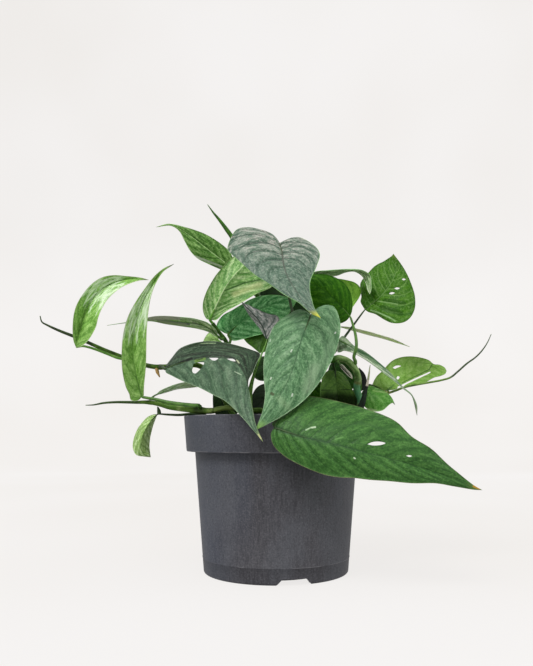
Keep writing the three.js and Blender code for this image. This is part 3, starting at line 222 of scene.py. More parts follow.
# Leaves: left and right are the margins from base to tip, as seen on the upper face with
# the tip up. A leaf grows from a stem near a place that is seen, or stands in the soil. The
# larger its spread is, the closer to its base its side veins leave the midrib.
LEAVES = [
    dict(
        name="leaf_top_heart", spread=1.6, stem="stem_right_arch", near=(16, 203),
        via=[(13.6, 212, -41), (11, 224, -40), (7, 243, -35), (4, 260, -34)],
        midrib=[
            (2.6, 269.2, -40), (4.6, 263, -46), (5.4, 257.5, -52), (6.6, 249.7, -60), (11, 238.7, -70),
            (16.4, 230, -80), (23, 220, -88), (30, 212.5, -94), (36.8, 207.7, -97),
        ],
        left=[
            (6.6, 270.4, -36), (10.4, 272.2, -33), (16.5, 274.2, -32), (24.1, 271.7, -36),
            (32.6, 266.8, -42), (36, 259.6, -48), (33.5, 250.8, -56), (30.2, 243.1, -62),
            (28, 236.5, -68), (28.2, 230, -75), (29.1, 224.2, -82), (31.3, 216.8, -90), (34, 211.8, -94),
        ],
        right=[
            (0.5, 272, -36), (-6, 278, -31), (-16, 281.8, -29), (-23.2, 282.6, -30), (-32.1, 280.1, -34),
            (-38.8, 270, -43), (-39.7, 264, -48), (-35.4, 258.7, -53), (-21.1, 246.4, -62),
            (-4.5, 234.3, -74), (8.7, 226, -82), (18.7, 220.1, -88), (28.5, 211.6, -93),
        ],
    ),
    dict(
        name="leaf_centre", spread=1.6, stem="stem_right_arch", near=(27, 182),
        via=[(30, 194, -46), (30.5, 204, -60)],
        midrib=[
            (28.8, 210.2, -74), (27.5, 207.2, -77), (22, 192.9, -82), (17.5, 178.5, -85),
            (12, 160.9, -87), (4.1, 145.5, -88), (-4.5, 130, -90), (-16.6, 115.6, -91),
        ],
        left=[
            (31.5, 213.8, -70), (35.1, 216, -66), (40.6, 218.7, -60), (47.3, 217, -58),
            (52.2, 206.1, -62), (52.8, 196.2, -68), (48.4, 178.5, -77), (37.3, 157.6, -84),
            (23, 140, -87), (6.6, 128, -89), (-10, 118.9, -90.5),
        ],
        right=[
            (26, 212, -71), (17.3, 214.3, -64), (6.6, 208.6, -62), (-2.5, 199.5, -66), (-6.6, 188.4, -70),
            (-10, 173.2, -76), (-10, 156.8, -81), (-9, 145.3, -85), (-11.1, 131.3, -89),
            (-14.8, 121, -90.5),
        ],
    ),
    dict(
        name="leaf_front_right", spread=1.5, root=(16, -42),
        via=[(15, 128, -58), (11, 132.4, -70), (5, 130, -80), (0, 122.5, -84)],
        midrib=[
            (-1.2, 117.7, -86), (7, 114.8, -89), (20.6, 110.2, -93), (43.6, 105.1, -97), (62.5, 100, -99),
            (81.4, 95.1, -99), (100.3, 90.2, -98), (125, 82.7, -95), (150.5, 73.7, -91),
            (169.6, 66.2, -87),
        ],
        left=[
            (-3.2, 120.7, -84), (3, 126.5, -82), (12, 132.9, -80), (24.7, 142.4, -77), (34.5, 142.9, -76),
            (57.3, 137.3, -76), (72.4, 133.8, -79), (87.8, 127.8, -83), (100.8, 121, -87),
            (112.7, 109.6, -91), (129.1, 98.9, -92), (145.6, 83.7, -91), (163.1, 69.9, -88),
        ],
        right=[
            (-3.9, 113, -86), (-3.7, 108, -87), (-1.8, 102.7, -88), (5.8, 95.1, -90), (20.6, 86.3, -93),
            (37, 80, -96), (52.3, 76.4, -98), (65, 76, -99), (87.6, 73.8, -100), (112.7, 71.9, -98),
            (131.6, 71.6, -95), (148, 69, -91), (162.8, 66.5, -88),
        ],
        holes=[
            [(75.2, 104), (79, 105.6), (85, 106.1), (90, 104.8), (86, 103.3), (79, 103)],
            [(107, 94.5), (109.5, 95), (111.8, 94.2), (109.5, 93.4)],
        ],
    ),
    dict(
        name="leaf_left_holed", spread=1.3, stem="stem_left_upper", near=(-95, 168.8),
        via=[(-93.5, 167.6, -17)],
        midrib=[
            (-91, 165.8, -24), (-80, 170, -32), (-66.6, 173.6, -42), (-50.2, 175.2, -53),
            (-36.2, 172.6, -62), (-27.1, 163.5, -71), (-22.6, 150, -79), (-19.6, 134, -87),
            (-16.4, 119, -94), (-10.7, 105.8, -99),
        ],
        left=[
            (-90, 169, -20), (-85, 176, -17), (-80, 182.4, -18), (-72, 186, -21), (-58, 188.2, -25),
            (-45, 187.8, -31), (-34, 186, -37), (-20, 181.5, -45), (-12.8, 177.6, -51), (-16, 170, -59),
            (-19, 163.3, -66), (-22.8, 156, -74), (-22, 144, -82), (-20, 133, -88), (-17.2, 120, -94),
        ],
        right=[
            (-90.4, 162.8, -28), (-85, 159.8, -36), (-78, 156.5, -44), (-66, 151.4, -56),
            (-52.6, 145.3, -68), (-42.3, 139.5, -77), (-34.5, 132.9, -84), (-26.3, 124.4, -91),
            (-19, 115.6, -96),
        ],
        holes=[
            [
                (-69, 165), (-68.5, 163), (-66.6, 162.1), (-64.5, 163.4), (-62, 166), (-60, 168.8),
                (-59.2, 171), (-62, 171.3), (-66, 170.8), (-68.2, 169.3), (-68.4, 167),
            ],
            [(-55, 175), (-52.5, 173), (-50, 172.8), (-47.5, 174.6)],
            [(-40.5, 174.3), (-37, 172.6), (-33.3, 172.2), (-35, 174)],
        ],
    ),
    dict(
        name="leaf_far_left_arched", spread=1.15, stem="stem_left_upper", near=(-125, 175),
        via=[
            (-131, 175.2, -10), (-136, 177.2, -10), (-144.5, 180.5, -10), (-153, 183.4, -10),
            (-159, 184.6, -11),
        ],
        midrib=[
            (-164.6, 184, -12), (-161.5, 197, -16), (-158.5, 208, -19), (-154, 219, -20),
            (-147, 228, -19), (-138, 234.5, -17), (-127, 238.6, -15), (-115, 240.2, -12),
            (-104.5, 239, -9),
        ],
        left=[
            (-166.4, 188.6, -14), (-167.5, 198, -20), (-166.6, 208, -26), (-164, 218, -28),
            (-159, 227.5, -28), (-152, 235.5, -26), (-143, 241, -23), (-133, 243, -20),
            (-122, 242.2, -16), (-111, 240.9, -11),
        ],
        right=[
            (-161.3, 183.8, -15), (-156.2, 187.4, -22), (-152, 193.3, -27), (-148, 200.8, -29),
            (-145.8, 208.8, -29), (-142.4, 217, -28), (-137.6, 224.4, -26), (-130.5, 230.6, -23),
            (-121.8, 235.4, -18), (-112, 238.6, -12),
        ],
    ),
    dict(
        name="leaf_left_upright", spread=1.1, petiole=1.6, stem="stem_left_lower", near=(-60.5, 132),
        via=[
            (-62.5, 135.4, -36), (-70, 136, -31.5), (-80, 137.1, -27), (-90, 138.7, -24),
            (-98, 140.6, -22.5), (-103, 141.5, -21.5), (-107, 142.2, -21),
        ],
        midrib=[
            (-110.2, 143, -20), (-112.8, 152, -22), (-116, 165, -24), (-117.6, 180, -25),
            (-116.8, 195, -25), (-113.5, 209, -24), (-108.6, 222, -22), (-102, 234, -18), (-94, 245, -14),
            (-84, 252.2, -10),
        ],
        left=[
            (-113.5, 140, -21), (-119.4, 140.2, -22), (-120.8, 145, -24), (-123.4, 150.5, -26),
            (-126, 162, -29), (-127, 177, -31), (-126, 193, -31), (-122, 208, -30), (-115.5, 221, -27),
            (-108, 232, -23), (-99.5, 242.6, -18), (-92, 248.8, -13),
        ],
        right=[
            (-108.9, 143.6, -21), (-108.7, 147, -23), (-108.4, 153, -26), (-107.2, 166, -29),
            (-106.6, 182, -31), (-106.3, 198, -31), (-105, 213, -29), (-102.8, 225, -26),
            (-98.8, 236.5, -21), (-92.5, 246, -15),
        ],
    ),
    dict(
        name="leaf_left_curled", spread=1.15, petiole=1.4, root=(-46, 2),
        via=[(-56, 126.5, 2), (-64, 128.8, 1), (-72, 128.6, 0), (-80, 128, -4), (-89, 128.3, -8)],
        midrib=[
            (-97.5, 128.6, -13), (-103, 123, -18), (-108.5, 114, -22), (-111.5, 105, -23),
            (-110, 97.5, -20), (-103, 93.2, -15),
        ],
        left=[
            (-98.8, 125.5, -12), (-101, 119.5, -11), (-103, 112, -10), (-104, 105, -10),
            (-103.9, 98.5, -12),
        ],
        right=[
            (-101, 128.3, -13), (-106, 126, -13), (-111, 120.6, -12), (-115, 114, -11),
            (-117.5, 106, -11), (-117.4, 99.5, -13), (-114.5, 95, -16), (-108.5, 93.8, -17),
        ],
        twigs=[((-96, 128.2, -13), (-96.3, 131.2, -13), (-97.3, 134.6, -13), 1.7)],
    ),
    dict(
        name="leaf_left_narrow", spread=1.1, petiole=0.8, stem="stem_left_lower", near=(-104, 138.4),
        via=[(-103.5, 140.5, -8), (-101.3, 142.9, -7.5)],
        midrib=[
            (-99.3, 144.2, -7), (-92, 147.4, -6), (-85, 150, -5), (-72, 152.8, -3), (-58, 154.8, 0),
            (-46, 155, 3),
        ],
        left=[
            (-95, 145.1, -4.5), (-90, 146.6, -1), (-83, 148.5, 4), (-72, 150.3, 7), (-58, 151.8, 7),
            (-50, 153.8, 5),
        ],
        right=[
            (-96, 147.3, -8.5), (-91, 150, -10.5), (-82, 153.4, -13), (-72, 155.2, -12), (-60, 156.4, -7),
            (-52, 156.2, -1),
        ],
    ),
    dict(
        name="leaf_left_edge_on", spread=1.1, stem="stem_left_back", near=(-43.2, 191.5),
        via=[(-45, 190.5, -8)],
        midrib=[
            (-47.5, 192.4, -13), (-55, 199.6, -14), (-65, 203, -14), (-78, 204.6, -13), (-92, 206.2, -11),
            (-105, 206.7, -8), (-118, 204.8, -6), (-139, 201.6, -4),
        ],
        left=[
            (-49.5, 198.3, -18), (-56, 204, -22), (-65, 206.7, -24), (-77, 208.2, -24), (-90, 209.7, -21),
            (-102, 208.7, -14), (-116, 205.5, -7.5),
        ],
        right=[
            (-51, 193.1, -7), (-57, 196.7, -2), (-66, 199.4, 3), (-77, 200.5, 5), (-89, 202.4, 4),
            (-101, 205, -1), (-116, 204.3, -4.5),
        ],
    ),
    dict(
        name="leaf_top_left", spread=1.2, stem="stem_centre", near=(-19.5, 236),
        via=[(-26, 239, 15)],
        midrib=[
            (-33, 245, 15), (-43, 254.2, 13), (-52, 261, 11), (-62, 268.8, 8), (-72, 276.4, 5),
            (-82, 282, 2), (-90, 284.5, 0), (-98.7, 282.4, -2),
        ],
        left=[
            (-38, 243.8, 18), (-46, 247.8, 17), (-55, 251.8, 14), (-65, 257, 11), (-71, 263.5, 8),
            (-75.5, 271.5, 5), (-79.5, 279, 3), (-86, 283.4, 1),
        ],
        right=[
            (-33.5, 252, 14), (-38.3, 262.3, 12), (-44.4, 268.2, 10), (-50.8, 272.6, 9),
            (-58.2, 276.8, 7), (-67, 280.2, 5), (-76, 282.8, 3), (-83, 284.6, 2), (-89, 285.2, 0.5),
        ],
    ),
    dict(
        name="leaf_light_underside", spread=1.35, stem="stem_left_back", near=(-52, 203),
        via=[],
        midrib=[
            (-54.4, 206.6, -5), (-51, 214, -7), (-47.8, 221, -9), (-44, 229, -10), (-39, 237, -10),
            (-31, 246.5, -9), (-22, 254.5, -6), (-12, 261, -2),
        ],
        left=[
            (-49.6, 206, -5), (-42.5, 212.2, -7), (-29.6, 219.5, -10), (-16, 227.6, -11),
            (-4, 233.2, -10), (3, 240, -8), (3, 249, -5), (-3, 256.5, -3),
        ],
        right=[
            (-56.8, 206.8, -6), (-59.7, 212, -8), (-60.2, 219.3, -10), (-57, 230, -11),
            (-50.5, 241.5, -10), (-45, 248.2, -8), (-37, 257, -5), (-25, 262.5, -2),
        ],
    ),
    dict(
        name="leaf_left_middle", spread=1.4, stem="stem_left_back", near=(-40.6, 186),
        via=[(-37.5, 190, 8)],
        midrib=[
            (-39.5, 194.5, 9), (-31, 202.5, 8), (-21, 210.5, 7), (-9, 217, 7), (4, 220.5, 8),
            (17, 221.5, 9),
        ],
        left=[
            (-43.5, 196, 9), (-48.8, 200.5, 9), (-47.6, 205, 8), (-43.5, 210, 7), (-36.5, 214, 6),
            (-29.6, 218.2, 5), (-21.7, 222.8, 5), (-12, 226, 6), (-2, 226.8, 7), (8, 225.2, 8),
        ],
        right=[
            (-38.5, 190.8, 10), (-35, 189, 10), (-28, 190.2, 9), (-20, 192.5, 9), (-10, 195, 8),
            (-1, 200, 8), (7, 207, 8), (13, 215, 9),
        ],
    ),
    dict(
        name="leaf_purple_folded", spread=1.2, petiole=1, root=(-20, -24),
        via=[
            (-20.6, 136, -34), (-20.2, 148, -37), (-18.3, 159, -38), (-15, 169.5, -38), (-11.8, 178, -36),
            (-9, 185, -33),
        ],
        midrib=[
            (-7.6, 189.6, -31), (-9.5, 197, -31), (-13.5, 205, -32), (-19.5, 212, -33), (-28.5, 221, -33),
        ],
        left=[
            (-4.6, 194, -31), (-1.5, 200.5, -31), (2.8, 206, -29), (1, 209.5, -29), (-7, 211.5, -29),
            (-15.5, 215.2, -31), (-23, 218.7, -32),
        ],
        right=[
            (-9.3, 192.6, -29), (-13.2, 198.6, -28), (-18, 204.5, -28), (-22.2, 210, -29),
            (-25.6, 215.6, -31),
        ],
        twigs=[((-20.6, 118, -30), (-21.4, 148, -37), (-17.4, 165, -38.5), 2.2)],
    ),
    dict(
        name="leaf_olive_behind", spread=1.3, stem="stem_centre", near=(-2.6, 199),
        via=[],
        midrib=[(-8, 199.5, 12.5), (-10.5, 192, 11), (-12.6, 185.5, 9), (-13.4, 178.8, 7)],
        left=[
            (-13, 200.5, 12.5), (-22, 197.5, 11.5), (-26.8, 191.8, 10), (-24.5, 188, 9), (-19.5, 184, 8),
            (-15.5, 180.6, 7),
        ],
        right=[(-4, 198.5, 12), (1, 195, 11), (2.5, 190, 10), (-1, 184.5, 9), (-8, 180.4, 7.5)],
    ),
    dict(
        name="leaf_light_small", spread=1.2, petiole=0.9, stem="stem_left_back", near=(-41, 184.5),
        via=[],
        midrib=[(-46.5, 189, 9), (-52, 189, 12), (-57, 185, 14), (-58.5, 178, 15)],
        left=[(-45, 186, 11), (-47, 181, 13), (-52, 177.5, 15)],
        right=[(-49, 193.5, 9), (-54.5, 196, 11), (-59.5, 189.5, 13), (-61, 182.5, 14)],
    ),
    dict(
        name="leaf_right_dark", spread=1.45, petiole=1.3, stem="stem_right_arch", near=(62.5, 168.2),
        via=[(64, 175, -31), (66, 183, -31), (65.8, 191, -28), (63.7, 200.5, -20)],
        midrib=[
            (60.8, 209, -12), (54, 217, -13), (45.5, 225.5, -14), (36, 232.5, -14), (24, 237.5, -12),
            (14, 239, -10),
        ],
        left=[
            (57.5, 205.3, -12), (51.5, 203, -12), (42, 204, -12), (32.5, 209.5, -12), (26.5, 217.5, -12),
            (21.5, 227.5, -11), (18, 234.5, -10),
        ],
        right=[
            (62.3, 213, -11), (62.9, 220, -10), (61, 229, -10), (55.5, 236.8, -10), (47.5, 241.8, -10),
            (38.5, 243.8, -10), (28, 243.6, -10), (20, 241.6, -10),
        ],
    ),
    dict(
        name="leaf_right_top", spread=1.45, stem="stem_right_arch", near=(43, 173),
        via=[(48, 179.5, -14), (56.5, 192.2, -4), (64.5, 203, 1)],
        midrib=[
            (73.2, 214.6, 1), (78, 218.5, -1), (82.7, 222.5, -3), (87, 226.5, -5), (90.9, 231, -6),
            (94.5, 236, -7), (97, 241, -7), (98.8, 247, -6), (98.6, 253, -5), (96.6, 260.5, -4),
        ],
        left=[
            (71.3, 217.5, 4), (69.6, 221, 7), (70.4, 225, 9), (69.4, 230, 12), (69.4, 235.5, 13),
            (72.5, 241, 13), (77, 246.3, 12), (83.5, 251.7, 9), (90.5, 255.6, 4), (94.8, 258.3, -1),
        ],
        right=[
            (76.5, 212.4, -2), (82, 210.7, -6), (90, 205.9, -13), (95, 203.6, -16), (100.5, 203.2, -18),
            (106, 204.7, -19), (111, 209, -19), (114.4, 216, -18), (114.3, 225, -16), (111.5, 235, -13),
            (107.5, 244.5, -10), (101.5, 254, -7),
        ],
        holes=[
            [(103.3, 239.6), (105, 240.3), (106.6, 239.5), (105, 238.8)],
            [(97.2, 232), (99.5, 232.9), (101.8, 232.1), (99.5, 231.2)],
            [(92.8, 227.8), (95.2, 229), (97.6, 228.4), (95.2, 227.2)],
        ],
    ),
    dict(
        name="leaf_right_draped", spread=1.1, petiole=0.9, stem="stem_centre", near=(-7, 208),
        via=[(4, 216, 14), (16, 232, 8)],
        midrib=[
            (27, 243.8, 3), (38, 244.9, 1), (50, 245.7, 0), (60, 246.6, -2), (68, 246.1, -5),
            (74, 242.6, -8), (76.6, 235.5, -10), (77, 227.3, -11),
        ],
        left=[
            (34, 243, 7), (42, 241.6, 9), (50, 242.4, 9), (57, 245.2, 6), (64, 245.8, 3),
            (70.5, 242.2, -1), (73.8, 236.5, -5), (75.6, 230, -9),
        ],
        right=[
            (34, 246.2, -5), (44, 246.9, -9), (54, 247.4, -10), (63, 247.6, -11), (71, 247, -12),
            (77.2, 243, -13), (78.6, 235.5, -13.5), (78.2, 229.5, -12.5),
        ],
    ),
    dict(
        name="leaf_right_light", spread=1.4, petiole=0.9, stem="stem_right_arch", near=(38.5, 172),
        via=[(44, 184, -6), (49, 198, 3)],
        midrib=[(56, 209, 6), (57.5, 218, 7), (55.5, 227, 8), (49, 234.5, 8), (40, 239, 7)],
        left=[
            (60.5, 213.5, 6), (64.8, 219.2, 7), (68.3, 224.5, 8), (70, 229, 9), (68.8, 233.4, 10),
            (64.5, 237, 10), (58, 239, 9), (50, 240.2, 8),
        ],
        right=[(51.5, 211, 6), (46.5, 217, 7), (43, 225, 7), (40.5, 233, 7)],
    ),
    dict(
        name="leaf_right_thin", spread=1.05, petiole=0.8, stem="stem_centre", near=(5.5, 176),
        via=[(24, 192, 18), (40, 200, 17)],
        midrib=[
            (50, 200.9, 15), (60, 199.2, 14), (72, 196.2, 13), (85, 192.7, 11), (97, 188.9, 8),
            (110, 184, 6),
        ],
        left=[(60, 198.1, 18), (72, 194.7, 19), (85, 191.4, 17), (98, 187.6, 12)],
        right=[(60, 200.3, 10), (72, 197.6, 7), (85, 194.1, 5), (98, 189.9, 5)],
    ),
    dict(
        name="leaf_right_arching", spread=1.15, petiole=0.9, stem="stem_right_arch", near=(36, 172.6),
        via=[(39.5, 181, -19), (44.5, 187.5, -15)],
        midrib=[
            (51, 189.4, -12), (58, 186.3, -12), (66, 181, -12), (75, 175, -13), (84, 168.2, -14),
            (93, 161, -16), (104, 150.6, -18), (111.2, 144.6, -20), (116, 127.5, -21),
        ],
        left=[
            (54.5, 193, -10), (58.5, 190.6, -7), (64, 185.1, -5), (73, 180, -4), (82, 173.7, -5),
            (91, 165.5, -8), (98, 158.3, -12), (104.5, 151, -16), (111.5, 144.9, -18), (116, 135.6, -20),
        ],
        right=[
            (50.2, 183, -12.5), (50.6, 179.4, -13.5), (53.2, 179.6, -14.3), (55.5, 180.8, -15),
            (58, 180.5, -15.5), (62.5, 179.4, -16), (68, 176.5, -17), (77, 170.8, -19), (87, 163.8, -21),
            (95, 157.5, -21), (103.7, 150, -20), (110.9, 144.3, -20), (115.4, 135.4, -21),
        ],
    ),
    dict(
        name="leaf_right_slit", spread=1.35, stem="stem_right_lower", near=(91.5, 146.4),
        via=[],
        midrib=[
            (92, 148.4, 6), (98, 153.5, 8), (106, 159.8, 10), (115, 165.4, 12), (124, 168.4, 13),
            (132, 168, 13), (140.3, 164.2, 12),
        ],
        left=[
            (96.5, 148.6, 4), (102, 150.4, 4), (108, 151.6, 4), (116, 152.7, 5), (124, 155.4, 6),
            (130, 158.6, 8), (135.5, 160.2, 9), (139.3, 162, 11),
        ],
        right=[
            (88.5, 148, 7), (82.5, 150, 8), (79.3, 152.2, 8), (80, 154.8, 9), (83, 160, 11),
            (88, 164.8, 13), (91.5, 169, 14), (96, 172.8, 16), (103, 175.4, 17), (112, 176.3, 18),
            (120, 175, 17), (126, 172.8, 16), (128.8, 170.4, 15), (130.4, 169.6, 14), (134, 169.4, 14),
            (138.6, 167.2, 13),
        ],
        holes=[
            [
                (100, 151.2), (105, 153.6), (114, 158), (122, 161.6), (127, 163.6), (127, 162.9),
                (120, 159.3), (112, 155.5), (105.5, 152.1), (103, 149), (100, 149),
            ],
            [(96, 167), (99, 168.6), (102.8, 168.3), (100, 166.9), (97.5, 166)],
            [(99, 158.4), (100, 159.8), (101.6, 159.3), (101, 157.6), (99.6, 157.2)],
        ],
    ),
    dict(
        name="leaf_right_low", spread=1.3, stem="stem_right_lower", near=(64, 147.5),
        via=[(66, 144, -3)],
        midrib=[
            (70, 142.4, -11), (78, 143.6, -15), (86, 143.4, -17), (92.5, 141.4, -16), (97.8, 136.4, -14),
        ],
        left=[
            (71, 147.5, -9), (76.5, 151.8, -8), (82, 150.6, -8), (87.5, 148.4, -8), (92, 145.5, -9),
            (95.6, 141.5, -12),
        ],
        right=[
            (71.5, 136.5, -13), (76.5, 132, -16), (83, 130.6, -18), (88.5, 132.3, -18), (93, 136.2, -17),
            (96, 137.8, -15),
        ],
    ),
    dict(
        name="leaf_right_inner", spread=1.35, stem="stem_right_arch", near=(46, 173),
        via=[(47, 168.5, -18)],
        midrib=[
            (48.5, 164.6, -12), (49.5, 156.5, -15), (50.3, 148, -19), (51.5, 138, -17), (53, 127.5, -14),
        ],
        left=[
            (53.5, 163, -11), (58.5, 157.5, -16), (62, 150.5, -27), (65, 144.5, -29.5),
            (66.6, 138.5, -28.5), (64, 131, -24),
        ],
        right=[
            (43.2, 164.6, -11), (38.8, 160, -13), (36.6, 151, -17), (36.4, 143.5, -17), (39.5, 135, -15),
            (46, 129, -14),
        ],
    ),
    dict(
        name="leaf_inner_left", spread=1.35, stem="stem_left_back", near=(-33, 143),
        via=[(-31.5, 150, 17)],
        midrib=[(-33, 154.5, 20), (-39, 147.5, 20), (-43, 139.5, 19), (-44, 131, 18), (-42, 123.5, 16)],
        left=[(-29.5, 150, 21), (-28, 142, 21), (-29.5, 134, 20), (-34, 126.5, 18)],
        right=[
            (-38.5, 157, 20), (-47, 153.5, 19), (-51.4, 146.5, 18), (-52, 139, 17), (-51, 131, 16),
            (-47.5, 126, 16),
        ],
    ),
    dict(
        name="leaf_inner_centre", spread=1.35, stem="stem_centre", near=(7.4, 149),
        via=[],
        midrib=[(9.5, 149.5, 9.5), (1, 146.5, 4), (-8, 141.5, -2), (-16, 135, -6), (-21.5, 129, -9)],
        left=[(10, 144.5, 9), (5, 137, 4), (-4, 131, -1), (-14, 128, -6)],
        right=[(4.5, 154.5, 7), (-5, 154, 2), (-12, 153, -2), (-16.8, 149.5, -5), (-20.6, 141, -7)],
    ),
    dict(
        name="leaf_inner_upper", spread=1.3, stem="stem_centre", near=(7.6, 161),
        via=[],
        midrib=[(5, 165.5, 9), (-2, 168.5, 6), (-10, 169, 3), (-19.5, 166, 0)],
        left=[(2, 160.5, 7), (-5, 157.2, 5), (-12, 156, 3), (-17.5, 158.5, 1)],
        right=[(1.5, 172.5, 9), (-5.5, 175.5, 7), (-12, 176, 4), (-17.5, 172.5, 2)],
    ),
    dict(
        name="leaf_inner_top", spread=1.3, stem="stem_centre", near=(-11, 216),
        via=[],
        midrib=[(-8, 219, 17.5), (-2, 222.5, 18.5), (8, 224.5, 20), (19, 225, 20.5), (29, 224, 20.5)],
        left=[(-4, 216, 18.5), (3, 211.5, 19), (13, 208, 19.5), (24.5, 208.5, 20), (30, 214.5, 20.5)],
        right=[
            (-11, 221.5, 16.6), (-12.9, 226.5, 16), (-12.2, 231.5, 16.2), (-7, 234, 17.5), (1, 235.5, 20),
            (12, 235.5, 21.5), (23, 231, 21),
        ],
    ),
    dict(
        name="leaf_inner_right", spread=1.3, stem="stem_centre", near=(6.4, 140),
        via=[(20, 149, 12), (33, 156, 7)],
        midrib=[(42, 160, 3), (50, 162.8, 1), (59, 163.2, -1), (67.5, 160, -3)],
        left=[(45, 170, 4), (52, 173.2, 3), (60, 172, 1), (65.4, 166.8, -1)],
        right=[(45, 152.4, 3), (53, 149.6, 1), (61, 148.6, -0.5), (66, 152.4, -2)],
    ),
    dict(
        name="leaf_back_low", spread=1.45, root=(20, 38),
        via=[(22, 145, 46), (23, 158, 58), (22.6, 161.5, 67)],
        midrib=[(22, 158.5, 75), (20, 146, 87), (16, 125, 97), (12, 100, 101), (10, 84, 98)],
        left=[
            (18.5, 162.5, 77), (9, 161, 81), (0.5, 151, 89), (-2, 135, 97), (0, 115, 102), (5, 97, 102),
        ],
        right=[
            (26.5, 162.5, 76), (35, 158, 80), (40, 147, 87), (39, 132, 95), (31, 112, 101), (19, 94, 101),
        ],
    ),
    dict(
        name="leaf_back_top", spread=1.45, stem="stem_centre", near=(-15.5, 226),
        via=[(-12, 232, 24)],
        midrib=[(-6, 238, 34), (-4, 245, 48), (-3, 249, 64), (-3, 246, 84), (-4, 235, 102)],
        left=[(-11, 237, 32), (-21, 239, 42), (-27, 242, 56), (-23, 244, 72), (-13, 241, 90)],
        right=[(-1, 237, 32), (10, 239, 42), (17, 242, 56), (14, 244, 72), (5, 241, 90)],
    ),
    dict(
        name="leaf_back_left", spread=1.4, stem="stem_left_back", near=(-43.6, 167),
        via=[(-43.5, 164, 18)],
        midrib=[(-42, 163.5, 29), (-45, 165.5, 44), (-47, 164.5, 60), (-47, 158.5, 76), (-46, 151, 90)],
        left=[(-47, 163, 29), (-54, 164.5, 44), (-56.5, 163, 60), (-54, 157, 76)],
        right=[(-38.5, 163, 29), (-35, 164.5, 44), (-35.5, 163, 60), (-39, 157, 76)],
    ),
    dict(
        name="leaf_back_right", spread=1.4, stem="stem_centre", near=(7, 167.5),
        via=[(20, 184, 28), (34, 201, 31)],
        midrib=[(42, 208.5, 36), (46, 214.5, 49), (47, 214, 64), (44, 205, 82), (38, 190, 96)],
        left=[(37, 208, 36), (31, 212.5, 50), (30.5, 212.5, 64), (33, 202.5, 82)],
        right=[(48, 209.5, 35), (57, 214.5, 46), (59, 215.5, 59), (54, 207.5, 76), (45, 198, 90)],
    ),
    dict(
        name="leaf_back_right_low", spread=1.4, root=(38, 34),
        via=[(42, 140, 42), (45, 151, 54)],
        midrib=[(47, 151.5, 64), (53, 146.5, 78), (58, 134, 90), (60, 119, 97), (58, 105, 99)],
        left=[(43.5, 150, 66), (42, 145, 76), (46.5, 132, 90), (49, 118, 99), (52, 110, 101)],
        right=[(52, 152.5, 64), (62, 147, 72), (69, 134, 84), (70, 121, 94), (65, 111, 98)],
    ),
    dict(
        name="leaf_back_upper_left", spread=1.4, stem="stem_centre", near=(-11.4, 217),
        via=[(-17, 226.5, 25)],
        midrib=[(-25, 230, 35), (-30, 235.5, 48), (-33, 238, 62), (-34, 236, 78), (-34, 227, 92)],
        left=[(-30.5, 229.5, 36), (-40, 232.5, 48), (-44.5, 235.5, 60), (-43, 233.5, 76)],
        right=[(-20.5, 231.5, 36), (-19.5, 236.5, 48), (-20.5, 239.5, 60), (-25, 237.5, 76)],
    ),
    dict(
        name="leaf_back_centre", spread=1.4, stem="stem_centre", near=(3.4, 183),
        via=[(2, 187, 28)],
        midrib=[(0, 191, 38), (-4, 198.5, 52), (-8, 202.5, 66), (-11, 200, 82), (-13, 190.5, 98)],
        left=[(-5.5, 190.5, 39), (-17, 196.5, 52), (-22.5, 200.5, 66), (-20, 197, 84)],
        right=[(5, 191.5, 39), (11, 199, 52), (8, 203.5, 66), (0, 199, 84)],
    ),
    dict(
        name="old_sheath_dark", spread=1.1, petiole=1, stem="stem_right_arch", near=(66.8, 155),
        via=[],
        midrib=[(70, 147.6, -14.5), (71, 154, -14), (70.8, 161, -14.5), (68.3, 167, -15.5)],
        left=[(67, 151.5, -14), (65.8, 157, -13.5), (66.4, 163, -14.5)],
        right=[(73.4, 149.6, -13.8), (74.6, 156, -13), (72.8, 162, -13.8)],
    ),
    dict(
        name="old_sheath_pale", spread=1.05, petiole=0.7, stem="stem_right_arch", near=(51.5, 173.2),
        via=[],
        midrib=[(52.5, 170, -31.5), (56.2, 166, -32), (60, 161.5, -32), (63, 157.3, -32)],
        left=[(54.4, 169.6, -31.5), (58.4, 165.6, -31.5), (62.3, 161, -31.5)],
        right=[(52.6, 167.8, -32), (55.6, 164, -32.5), (60, 159.5, -32.5)],
    ),
]

